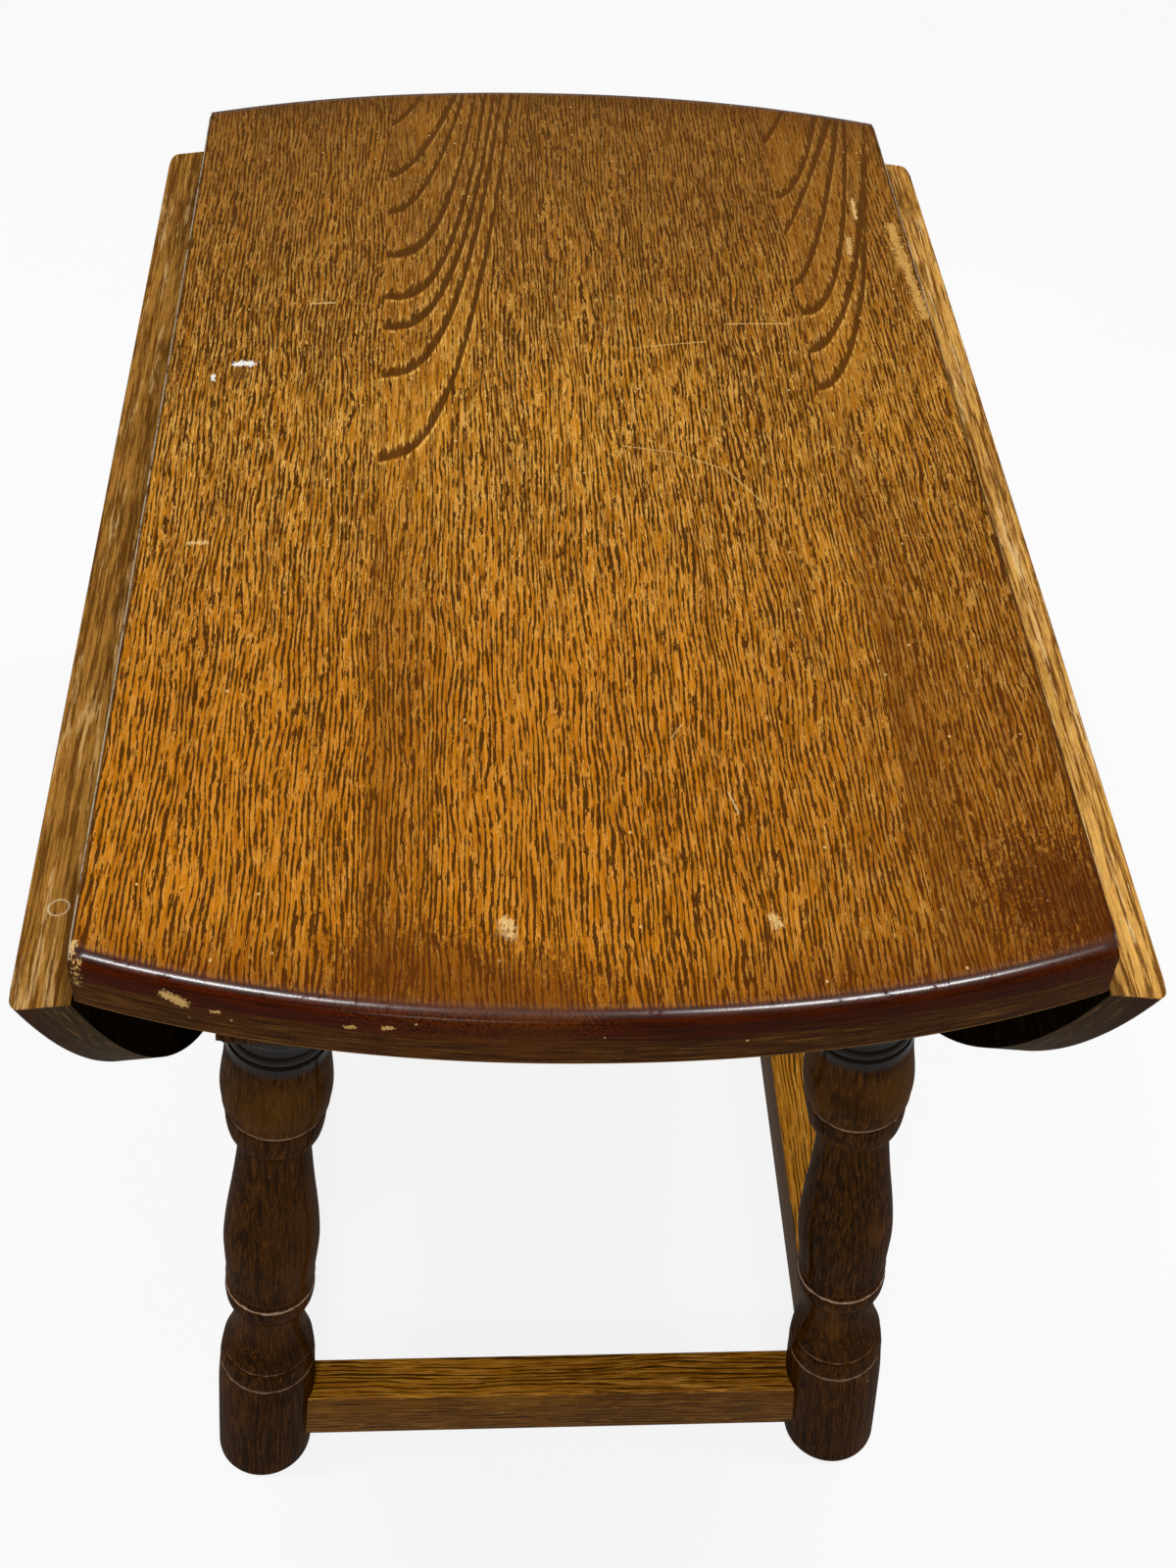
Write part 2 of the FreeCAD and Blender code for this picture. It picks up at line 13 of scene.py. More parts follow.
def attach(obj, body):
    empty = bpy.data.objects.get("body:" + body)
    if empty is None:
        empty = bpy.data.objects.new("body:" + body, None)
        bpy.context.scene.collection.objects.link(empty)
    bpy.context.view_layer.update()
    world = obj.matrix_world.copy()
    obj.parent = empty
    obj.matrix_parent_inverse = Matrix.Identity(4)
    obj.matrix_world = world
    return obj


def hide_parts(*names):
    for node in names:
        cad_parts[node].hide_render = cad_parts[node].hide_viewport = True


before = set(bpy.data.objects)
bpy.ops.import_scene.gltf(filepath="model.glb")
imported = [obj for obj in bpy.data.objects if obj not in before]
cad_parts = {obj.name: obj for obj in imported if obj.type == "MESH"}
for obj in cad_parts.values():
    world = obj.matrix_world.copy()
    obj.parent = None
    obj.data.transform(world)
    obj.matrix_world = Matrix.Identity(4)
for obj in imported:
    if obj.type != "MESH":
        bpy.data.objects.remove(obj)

log = logging.getLogger("drop_leaf_table")

MM = 0.001
TINY = 1e-6
LIE = "lie"
CREASE = 32.0
FRAME = "table_frame"
Point = tuple[float, float]
Spot = tuple[float, float, float]
Colour = tuple[float, float, float, float]
Face = tuple[int, ...]


class Named(Enum):
    """A part of the table that lends its name to the pieces there."""

    @property
    def word(self) -> str:
        """Return the name in lower case."""
        return self.name.lower()


class Side(Named):
    """The two long sides of the table, each with its sign along X."""

    LEFT = -1
    RIGHT = 1


class End(Named):
    """The two short ends of the table, each with its sign along Y."""

    FRONT = -1
    BACK = 1


class GrainFrom(Enum):
    """Where a wood finish takes its grain direction from."""

    LIE = "the piece's own attribute"
    ACROSS = "X"
    ALONG = "Y"


def paint(*levels: int) -> Colour:
    """Return red, green and blue as seen on screen, from 0 to 255, as a linear colour."""
    shares = [level / 255 for level in levels]
    return (*(share / 12.92 if share <= 0.04045 else ((share + 0.055) / 1.055) ** 2.4 for share in shares), 1.0)


@dataclass(frozen=True)
class TableSizes:
    """The table's own sizes in metres, as the joiner's rod would give them."""

    height: float = 566 * MM
    top_length: float = 729 * MM
    open_width: float = 898 * MM
    outline_power: float = 2.12
    top_width: float = 400 * MM
    thickness: float = 25.5 * MM
    left_seam: float = -92 * MM
    right_seam: float = 130 * MM
    joint_gap: float = 0.4 * MM
    hang_angle: float = math.radians(7.5)
    pin_drop: float = 1.5 * MM
    hinge_length: float = 50 * MM
    hinge_spacing: float = 380 * MM
    flap_width: float = 22.2 * MM
    flap_thickness: float = 2 * MM
    leg_square: float = 54.5 * MM
    block_length: float = 130 * MM
    splay: float = math.radians(4.7)
    leg_spread: float = 341 * MM
    leg_spacing: float = 455 * MM
    stretcher_width: float = 25.5 * MM
    stretcher_depth: float = 41 * MM
    stretcher_rise: float = 25.5 * MM

    @property
    def underside(self) -> float:
        """Return the height of the board's underside."""
        return self.height - self.thickness

    @property
    def stretcher_top(self) -> float:
        """Return the height of the stretchers' upper face."""
        return self.stretcher_rise + self.stretcher_depth

    @property
    def pin(self) -> Point:
        """Return the right hinge line's X and Z."""
        return self.top_width / 2 + self.joint_gap / 2, self.underside - self.pin_drop

    def half_length(self, x: float) -> float:
        """Return how far the open top reaches along Y at a distance across it."""
        share = 1 - (abs(x) / (self.open_width / 2)) ** self.outline_power
        return self.top_length / 2 * max(share, 0.0) ** (1 / self.outline_power)

    def hang(self, side: Side) -> Matrix:
        """Return the turn that takes a raised leaf to where it hangs.

        Args:
            side: The leaf's side.

        Returns:
            The turn about that side's hinge line.
        """
        x, z = self.pin
        place = Matrix.Translation((side.value * x, 0, z))
        turn = Matrix.Rotation(side.value * (math.pi / 2 + self.hang_angle), 4, "Y")
        return place @ turn @ place.inverted()


def operation(name: str, swapped: bool = False) -> Callable[..., "Term"]:
    """Return a method that makes a math node of a term and another value.

    Args:
        name: The node's operation.
        swapped: Whether the other value comes first.

    Returns:
        The method.
    """
    def method(term: "Term", other: object = 0.0) -> "Term":
        """Return the math node's value."""
        first, second = (other, term) if swapped else (term, other)
        return term.graph.term("Math", {0: first, 1: second}, operation=name)

    return method


class Term:
    """A value in a material's tree. Those that are numbers add, multiply and compare as plain numbers do."""

    def __init__(self, graph: "Graph", socket: bpy.types.NodeSocket) -> None:
        """Hold a node's output and the tree that it is in."""
        self.graph = graph
        self.socket = socket

    __add__ = __radd__ = operation("ADD")
    __sub__, __rsub__ = operation("SUBTRACT"), operation("SUBTRACT", True)
    __mul__ = __rmul__ = operation("MULTIPLY")
    __truediv__, __pow__, __abs__ = operation("DIVIDE"), operation("POWER"), operation("ABSOLUTE")
    __gt__, __lt__ = operation("GREATER_THAN"), operation("LESS_THAN")
    at_least, at_most, pingpong = operation("MAXIMUM"), operation("MINIMUM"), operation("PINGPONG")

    def step(self, low: float, high: float) -> "Term":
        """Return a smooth rise from 0 at low to 1 at high."""
        return self.graph.term("MapRange", {"Value": self, "From Min": low, "From Max": high},
                               interpolation_type="SMOOTHSTEP", clamp=True)

    def band(self, start: float, full: float, fading: float, stop: float) -> "Term":
        """Return 1 between the middle two of four levels in millimetres, and 0 outside the outer two."""
        return self.step(start * MM, full * MM) - self.step(fading * MM, stop * MM)

    def lerp(self, first: object, second: object) -> "Term":
        """Return two numbers mixed by this share."""
        return self.graph.term("Mix", {0: self, 2: first, 3: second}, data_type="FLOAT", clamp_factor=True)

    def blend(self, first: object, second: object) -> "Term":
        """Return two colours mixed by this share."""
        return self.graph.term("Mix", {0: self, 6: first, 7: second}, 2, data_type="RGBA", clamp_factor=True)

    def tinted(self, *tints: tuple["Term", object]) -> "Term":
        """Return this colour blended with other colours in turn.

        Args:
            tints: Each with its share first and its colour second.

        Returns:
            The last blend.
        """
        colour = self
        for share, tint in tints:
            colour = share.blend(colour, tint)
        return colour

    def parts(self) -> list["Term"]:
        """Return this vector's three parts."""
        return [Term(self.graph, part) for part in self.graph.node("SeparateXYZ", {0: self}).outputs]

    def scaled(self, factors: Spot) -> "Term":
        """Return this vector multiplied part by part."""
        return self.graph.vector("MULTIPLY", self, factors)

    def noise(self, waves: Spot, detail: float = 2.0, roughness: float = 0.5) -> "Term":
        """Return a noise at this place whose grain is set by how many waves a metre holds along each axis."""
        return self.graph.term("TexNoise", {"Vector": self.scaled(waves), "Scale": 1.0, "Detail": detail,
                                            "Roughness": roughness})

    def nicks(self, waves: Spot, rare: float, inner: float, outer: float) -> "Term":
        """Return small dots at this place, each in the middle of a cell.

        Args:
            waves: How many cells a metre holds along each axis.
            rare: The share of the cells that have no dot.
            inner: Where a dot starts to fade, in shares of a cell.
            outer: Where it ends.

        Returns:
            1 on the dots.
        """
        cell = self.graph.node("TexVoronoi", {"Vector": self.scaled(waves), "Scale": 1.0})
        chance = Term(self.graph, cell.outputs["Color"]).parts()[0] > rare
        return Term(self.graph, cell.outputs["Distance"]).step(outer, inner) * chance

    def from_line(self, start: Spot, stop: Spot) -> "Term":
        """Return the distance from this place to a straight stroke.

        Args:
            start: One end of the stroke.
            stop: Its other end.

        Returns:
            The distance in metres.
        """
        run = Vector(stop) - Vector(start)
        vector = self.graph.vector
        away = vector("SUBTRACT", self, start)
        along = vector("DOT_PRODUCT", away, tuple(run / max(run.length_squared, 1e-12)), 1)
        reach = self.graph.term("VectorMath", {0: tuple(run), "Scale": along.at_least(0.0).at_most(1.0)},
                                operation="SCALE")
        return vector("LENGTH", vector("SUBTRACT", away, reach), out=1)


class Graph:
    """A material's node tree with short calls for the nodes that the finishes use."""

    def __init__(self, name: str) -> None:
        """Start an empty material.

        Args:
            name: The material's name.
        """
        self.material = bpy.data.materials.new(name)
        self.material.use_nodes = True
        self.tree = self.material.node_tree
        self.tree.nodes.clear()

    def node(self, kind: str, inputs: dict | None = None, **settings: object) -> bpy.types.Node:
        """Add a node.

        Args:
            kind: The node's type name without its ShaderNode prefix.
            inputs: Values or terms by input name or number.
            settings: The node's own properties.

        Returns:
            The new node.
        """
        made = self.tree.nodes.new("ShaderNode" + kind)
        for key, value in settings.items():
            setattr(made, key, value)
        for key, value in (inputs or {}).items():
            if isinstance(value, Term):
                self.tree.links.new(value.socket, made.inputs[key])
            else:
                made.inputs[key].default_value = value
        return made

    def term(self, kind: str, inputs: dict | None = None, out: int | str = 0, **settings: object) -> Term:
        """Add a node and return one of its outputs."""
        return Term(self, self.node(kind, inputs, **settings).outputs[out])

    def vector(self, name: str, first: object, second: object = (0.0, 0.0, 0.0), out: int = 0) -> Term:
        """Add a vector math node and return one of its outputs."""
        return self.term("VectorMath", {0: first, 1: second}, out, operation=name)

    def joined(self, x: object, y: object, z: object) -> Term:
        """Return three numbers as a vector."""
        return self.term("CombineXYZ", {0: x, 1: y, 2: z})

    def place(self, grain: GrainFrom) -> Term:
        """Return the place on the piece in metres, with its second part along the grain.

        Args:
            grain: Where the grain direction comes from.

        Returns:
            The place.
        """
        if grain is GrainFrom.LIE:
            return self.term("Attribute", out="Vector", attribute_name=LIE)
        place = self.term("TexCoord", out="Object")
        if grain is GrainFrom.ALONG:
            return place
        x, y, z = place.parts()
        return self.joined(y, x, z)

    def bump(self, height: Term, depth: float) -> Term:
        """Return a normal pushed in by a height of a given depth in metres."""
        return self.term("Bump", {"Strength": 1.0, "Distance": depth, "Height": height})

    def close(self, shader: Term) -> bpy.types.Material:
        """Use a shader as the material's surface and return the material."""
        self.node("OutputMaterial", {0: shader})
        return self.material


@dataclass(frozen=True)
class Stroke:
    """A scratch, chip or stain on a piece, as a stroke in the piece's own place.

    Fields give its two ends in millimetres, its half width in millimetres, its colour, how strongly it
    covers, and how ragged its edge is.
    """

    start: Spot
    stop: Spot
    width: float
    colour: Colour
    cover: float = 1.0
    ragged: float = 0.6


PALE_WOOD = paint(226, 186, 122)
BARE_WOOD = paint(214, 172, 104)
RUBBED_WOOD = paint(208, 160, 84)
FILLER = paint(236, 236, 232)


@dataclass(frozen=True)
class OakFinish:
    """Polished plain oak: raised light fibres between dark open pores along its grain, with painted glints on the edges
    of the raised ridges.

    The methods take own, the place on the piece, and relief takes place, where the grain is drawn from.
    A noise has how many waves a metre holds along each axis, its detail and its roughness, a step where it
    starts and where it is full, and a tint how strongly it covers and its colour.
    """

    name: str
    grain: GrainFrom = GrainFrom.LIE
    light: Colour = paint(240, 186, 94)
    gold: Colour = paint(178, 114, 24)
    amber: Colour = paint(150, 93, 18)
    pore: Colour = paint(50, 28, 5)
    fibres: float = 700.0
    stroke: float = 88.0
    ridge: float = 2.6 * MM
    crest: float = 0.58
    openness: float = 0.618
    pore_cover: float = 0.92
    # How strongly the painted highlight on the ridge edges covers.
    painted_glint_share: float = 0.9
    roughness: float = 0.62
    specular: float = 0.0
    coat: float = 0.07
    coat_roughness: float = 0.2
    pore_depth: float = 0.3 * MM
    pore_break: float = 0.045
    sway: float = 10 * MM
    streaks: float = 0.0
    umber: Colour = paint(110, 62, 10)
    strokes: tuple[Stroke, ...] = ()

    def shifted(self, own: Term) -> Term:
        """Return the place that the grain is drawn from."""
        return own

    def relief(self, own: Term, place: Term, cloud: Term) -> Term:
        """Return how far the wood stands above its pores, which is below 0 in a pore.

        Args:
            own: The place on the piece, which is not used here.
            place: The place that the grain is drawn from.
            cloud: A slow noise that varies the wood.

        Returns:
            The height, about 1 high.
        """
        x, y, z = place.parts()
        sway = (place.noise((40, 11, 40)) - 0.5) * self.sway
        ridges = place.noise((95, 9, 95)) * 2.6 + (sway + (x + z)) / self.ridge
        wavy = place.graph.joined(sway + x, y, z)
        fibre = wavy.noise((self.fibres, self.stroke, self.fibres), 3, 0.72)
        level = (cloud - 0.5) * 0.08 + self.openness
        closed = place.noise((260, 62, 260), 2, 0.6).step(0.56, 0.34)
        return closed * self.pore_break + (ridges.pingpong(0.5) * self.crest + fibre - level)

    def sheen(self, own: Term) -> Term | float:
        """Return the weight of the polish."""
        return self.coat

    def ground(self, own: Term, colour: Term) -> Term:
        """Return the colour with the tones that lie under the pores."""
        return colour

    def tone(self, own: Term, colour: Term) -> Term:
        """Return the colour with the tones that lie over the whole piece."""
        return colour

    def marked(self, own: Term, colour: Term) -> Term:
        """Return the colour with this piece's scratches, chips and stains.

        Args:
            own: The place on the piece.
            colour: The colour so far.

        Returns:
            The marked colour.
        """
        if not self.strokes:
            return colour
        fuzz = own.noise((900, 420, 900), 3, 0.7) - 0.5
        for stroke in self.strokes:
            start, stop = (tuple(part * MM for part in end) for end in (stroke.start, stroke.stop))
            width = stroke.width * MM
            far = fuzz * (7.0 * width * stroke.ragged) + own.from_line(start, stop)
            colour = (far.step(width, width * 0.55) * stroke.cover).blend(colour, stroke.colour)
        return colour

    def dress(self) -> bpy.types.Material:
        """Build the material.

        Returns:
            The finished material.
        """
        graph = Graph(self.name)
        own = graph.place(self.grain)
        place = self.shifted(own)
        cloud = place.noise((16, 5, 16), 3)
        over = self.relief(own, place, cloud)
        fine = place.noise((1300, 48, 1300), 2, 0.6)
        dark = over.step(0.012, -0.022).at_least(fine.step(0.60, 0.66) * 0.6)
        streak = place.noise((240, 8, 240), 3, 0.62).step(0.47, 0.62)
        # Painted highlight: the edges of the raised ridges are painted as glints in the light colour.
        painted_ridge_glint = over.step(0.015, 0.03) - over.step(0.05, 0.11)
        painted_ridge_glint = painted_ridge_glint * place.noise((800, 70, 800)).step(0.42, 0.58)
        colour = cloud.step(0.3, 0.7).blend(self.gold, self.amber).tinted(
            (streak * self.streaks, self.umber), (fine.step(0.50, 0.36) * 0.45, self.light),
            (painted_ridge_glint * self.painted_glint_share, self.light))
        colour = self.ground(own, colour).tinted((dark * self.pore_cover, self.pore))
        colour = self.marked(own, self.tone(own, colour))
        return graph.close(graph.term("BsdfPrincipled", {
            "Base Color": colour, "Roughness": dark * 0.14 + self.roughness,
            "Normal": graph.bump(over.step(-0.10, 0.10), self.pore_depth), "Coat Weight": self.sheen(own),
            "Coat Roughness": self.coat_roughness, "Specular IOR Level": self.specular}))


@dataclass(frozen=True)
class TopOakFinish(OakFinish):
    """The top's oak: three planks with arched growth lines by the seams, and darker, redder ends.

    A growth line is where it leaves its seam, how far it has risen one arch width away, both in
    millimetres, and the power of its curve.
    """

    sizes: TableSizes = TableSizes()
    streaks: float = 0.72
    pore: Colour = paint(58, 31, 7)
    fibres: float = 900.0
    stroke: float = 84.0
    ridge: float = 2.3 * MM
    crest: float = 0.5
    openness: float = 0.600
    edge_red: Colour = paint(70, 21, 2)
    edge_olive: Colour = paint(84, 48, 9)
    arris: Colour = paint(128, 92, 48)
    rim_coat: float = 1.0
    arch_width: float = 70 * MM
    edge_climb: float = 3.0
    plank_shift: float = 3.7
    left_lines: tuple[Spot, ...] = (
        (319.0, 287.0, 1.52), (258.0, 295.0, 1.78), (217.0, 404.0, 2.14), (171.0, 500.0, 2.94), (129.0, 450.0, 3.1),
        (100.0, 378.0, 2.9), (56.0, 360.0, 2.7), (-16.0, 350.0, 2.5))
    right_lines: tuple[Spot, ...] = (
        (304.0, 249.0, 1.23), (240.0, 336.0, 1.79), (198.0, 240.0, 1.15), (146.0, 323.0, 1.44), (116.0, 399.0, 2.12),
        (81.0, 276.0, 1.77), (48.0, 320.0, 1.9))

    def seams(self, x: Term) -> tuple[Term, Term]:
        """Return 1 right of the left seam, and 1 right of the right seam."""
        return x > self.sizes.left_seam, x > self.sizes.right_seam

    def from_seam(self, x: Term, second: Term) -> Term:
        """Return the distance right of the nearest seam to the left."""
        return x - second.lerp(self.sizes.left_seam, self.sizes.right_seam)

    def shifted(self, own: Term) -> Term:
        """Return the place moved apart for each plank, so that the grain breaks at the seams.

        Args:
            own: The place on the piece.

        Returns:
            The moved place.
        """
        x, y, z = own.parts()
        first, second = self.seams(x)
        jump = (first + second) * self.plank_shift
        return own.graph.joined(x, y + jump, z + jump)

    def near_lines(self, across: Term, along: Term, lines: tuple[Spot, ...]) -> Term:
        """Return the distance along the table to the nearest of the growth lines that leave a seam.

        Args:
            across: The distance from the seam in arch widths.
            along: The place along the table.
            lines: The lines.

        Returns:
            The distance in metres.
        """
        gap: Term | float = 1.0
        for foot, rise, power in lines:
            gap = abs(along - (across ** power * (rise * MM) + foot * MM)).at_most(gap)
        return gap

    def relief(self, own: Term, place: Term, cloud: Term) -> Term:
        """Return the height, with arched growth lines that leave each seam and turn along the plank.

        Args:
            own: The place on the piece.
            place: The place that the grain is drawn from.
            cloud: A slow noise that varies the wood.

        Returns:
            The height.
        """
        x, y, z = own.parts()
        first, second = self.seams(x)
        slow = place.noise((14, 3, 14)) - 0.5
        comb = place.noise((900, 55, 900), 3, 0.68) - 0.5
        across = (slow * 0.006 + self.from_seam(x, second)).at_least(0.0) / self.arch_width
        climb = (z - self.sizes.height) * self.edge_climb
        along = comb * 0.016 + (slow * 0.02 + (climb + y))
        gap = second.lerp(self.near_lines(across, along, self.left_lines),
                          self.near_lines(across, along, self.right_lines))
        half = across ** 1.6 * 0.0115 + 0.0040
        arch = (comb * 0.34 + (gap / half - 1.0) * 0.12).at_least(-0.017)
        plain = OakFinish.relief(self, own, place, cloud)
        foot = along - across ** second.lerp(2.6, 1.8) * 0.36
        below = (second * -0.05 + (comb * 0.05 + foot)).step(-0.03, -0.06)
        return first.lerp(1.0, below).lerp(arch.at_most(plain + 0.084), plain)

    def reach(self, own: Term) -> Term:
        """Return how near a place is to the rim of the open top, which is 1 there.

        Args:
            own: The place on the piece.

        Returns:
            The share.
        """
        x, y, _ = own.parts()
        power = self.sizes.outline_power
        wide = (abs(x) / (self.sizes.open_width / 2)) ** power
        long = (abs(y) / (self.sizes.top_length / 2)) ** power
        return (wide + long) ** (1 / power)

    def sheen(self, own: Term) -> Term | float:
        """Return the weight of the polish, thick on the rounded rim.

        Args:
            own: The place on the piece.

        Returns:
            The weight.
        """
        high = own.parts()[2].step(self.sizes.height - 1.9 * MM, self.sizes.height - 1.1 * MM)
        patchy = own.noise((160, 160, 160), 3, 0.7).step(0.30, 0.44)
        return (self.reach(own).step(0.974, 0.982) * high * patchy).lerp(self.coat, self.rim_coat)

    def ground(self, own: Term, colour: Term) -> Term:
        """Return the colour with a golden glow towards the near left and browner, greyer wood far away, which is partly
        painted sheen for the haze that the far top reflects.

        Args:
            own: The place on the piece.
            colour: The colour so far.

        Returns:
            The colour under the pores.
        """
        x, y, _ = own.parts()
        glow = y.step(0.02, -0.24) * x.step(0.02, 0.17).lerp(0.55, 0.2)
        # Partly painted sheen: the far top is tinted browner and greyer for the haze it catches at a grazing angle.
        return colour.tinted((glow, paint(186, 108, 6)), (y.step(0.0, 0.3) * 0.28, paint(132, 82, 34)))

    def tone(self, own: Term, colour: Term) -> Term:
        """Return the colour with dark ends, the red rounded edge, the olive flat edge and its pale arris; the red over
        the olive is partly the finish's colour and partly painted reflection.

        Args:
            own: The place on the piece.
            colour: The colour so far.

        Returns:
            The toned colour.
        """
        x, y, z = own.parts()
        first, second = self.seams(x)
        reach = self.reach(own)
        end = (own.noise((9, 9, 9), 3) * 0.14 + reach).step(0.95, 1.10) * 0.7
        dusk = x.step(0.03, 0.18) * y.step(0.02, -0.26).lerp(0.14, 0.46)
        seam = first * self.from_seam(x, second).step(40 * MM, 5 * MM) * y.step(0.05, -0.15).lerp(0.14, 0.34)
        rise = (z - self.sizes.underside) / self.sizes.thickness
        streak = own.noise((26, 26, 620), 3, 0.6)
        flat = streak * 0.40 + rise
        grit = own.noise((45, 45, 1300), 3, 0.6)
        # Partly painted reflection: the red upper edge over the olive flat stands for the rounding looking darker in
        # what it mirrors.
        edge = flat.step(0.66, 0.90).blend(self.edge_olive, self.edge_red).tinted(
            (x.step(-0.05, 0.1) * 0.3, paint(40, 20, 6)), (grit.step(0.44, 0.60) * 0.8, paint(40, 15, 4)),
            (grit.step(0.42, 0.34) * flat.step(0.8, 0.6) * 0.6, paint(124, 84, 34)),
            (rise.step(0.045, 0.015), self.arris))
        colour = colour.tinted(
            (end, y.step(-0.1, 0.1).blend(paint(84, 36, 6), paint(76, 44, 20))),
            (y.step(0.0, 0.32) * 0.42, paint(96, 60, 24)), (dusk, paint(96, 46, 8)), (seam, paint(100, 54, 10)),
            ((streak * 0.004 + reach).step(0.982, 0.988), edge))
        return self.specked(own, self.worn(own, colour))

    def worn(self, own: Term, colour: Term) -> Term:
        """Return the colour with the long edges painted dark, partly as the shade in the gap beside them, and a painted
        highlight along the left arris and the back of the right one.

        Args:
            own: The place on the piece.
            colour: The colour so far.

        Returns:
            The worn colour.
        """
        x, y, z = own.parts()
        inset = self.sizes.top_width / 2 - abs(x)
        lit = (x < 0.0).at_least(y.step(0.02, 0.2))
        rubbed_and_painted_glint = own.noise((90, 60, 90), 3, 0.7).step(0.36, 0.5)
        top = z.step(self.sizes.height - 3 * MM, self.sizes.height - 1.5 * MM) * 0.75
        # Painted highlight: a pale broken line along the arris, where the light is caught.
        line = inset.step(1.1 * MM, 0.5 * MM) * lit * rubbed_and_painted_glint * top
        # Partly painted shade: the dark band along both long edges stands for the dark polish and the shade in the gap
        # to the leaves.
        return colour.tinted((inset.step(2.6 * MM, 1.2 * MM) * 0.8, paint(66, 38, 12)), (line, paint(206, 190, 164)))

    def specked(self, own: Term, colour: Term) -> Term:
        """Return the colour with tiny pale nicks in the polish."""
        return colour.tinted((own.nicks((130, 95, 130), 0.86, 0.05, 0.10) * 0.8, PALE_WOOD),
                             (own.nicks((60, 42, 60), 0.84, 0.0275, 0.055) * 0.8, PALE_WOOD))


@dataclass(frozen=True)
class LeafOakFinish(TopOakFinish):
    """A leaf's oak: the face as the top, the joint edge lighter, golden and worn."""

    # Partly painted shade: the leaf's rim colours are darker than the board's, as the hanging rim faces down and out
    # into shade.
    edge_olive: Colour = paint(60, 45, 14)
    edge_red: Colour = paint(58, 32, 8)
    arris: Colour = paint(56, 41, 15)
    coat: float = 0.05
    rim_coat: float = 0.16
    edge_gold: Colour = paint(204, 150, 76)
    edge_brown: Colour = paint(164, 110, 44)
    edge_light: Colour = paint(236, 182, 92)
    wear: float = 0.85
    ring_mark: Spot | None = None

    def seams(self, x: Term) -> tuple[Term, Term]:
        """Return a single plank's shares: 1 on the right leaf, and 0."""
        return x > 0.0, x > 9.0

    def relief(self, own: Term, place: Term, cloud: Term) -> Term:
        """Return the plain height, as the face of a leaf has no arches."""
        return OakFinish.relief(self, own, place, cloud)

    def worn(self, own: Term, colour: Term) -> Term:
        """Return the colour as it is, as a leaf's long edge has its own."""
        return colour

    def tone(self, own: Term, colour: Term) -> Term:
        """Return the colour with the rim of the top and a golden joint edge, painted darker next to the board as shade.

        Args:
            own: The place on the piece.
            colour: The colour so far.

        Returns:
            The toned colour.
        """
        colour = TopOakFinish.tone(self, own, colour)
        x, y, z = own.parts()
        inset = abs(x) - (self.sizes.top_width / 2 + self.sizes.joint_gap)
        slope = own.noise((9, 4, 50), 3) * 5.0
        fine = own.noise((800, 40, 1000), 3, 0.6)
        over = (z * 150.0 + slope).pingpong(0.5) * 0.3 + fine - 0.545
        worn = own.noise((60, 14, 200), 4, 0.72).step(0.55, 0.60) * fine.step(0.40, 0.50)
        # Painted shade: the joint edge darkens towards its inner side, next to the board's edge.
        near = z.step(self.sizes.underside + 7 * MM, self.sizes.underside + 0.5 * MM)
        gold = own.noise((20, 9, 90), 3).step(0.35, 0.65).blend(self.edge_gold, self.edge_brown).tinted(
            (over.step(0.04, 0.10) * 0.55, self.edge_light), (over.step(0.0, -0.035) * 0.8, paint(92, 54, 14)),
            (worn * self.wear, PALE_WOOD), (near * 0.6, paint(84, 54, 22)))
        if self.ring_mark:
            along, up, radius = (part * MM for part in self.ring_mark)
            away = own.graph.vector("LENGTH", own.graph.joined(0.0, y - along, z - up), out=1) - radius
            gold = gold.tinted((abs(away).step(0.6 * MM, 0.25 * MM) * 0.6, paint(214, 190, 150)))
        return colour.tinted((inset.step(1.4 * MM, 0.3 * MM), gold))


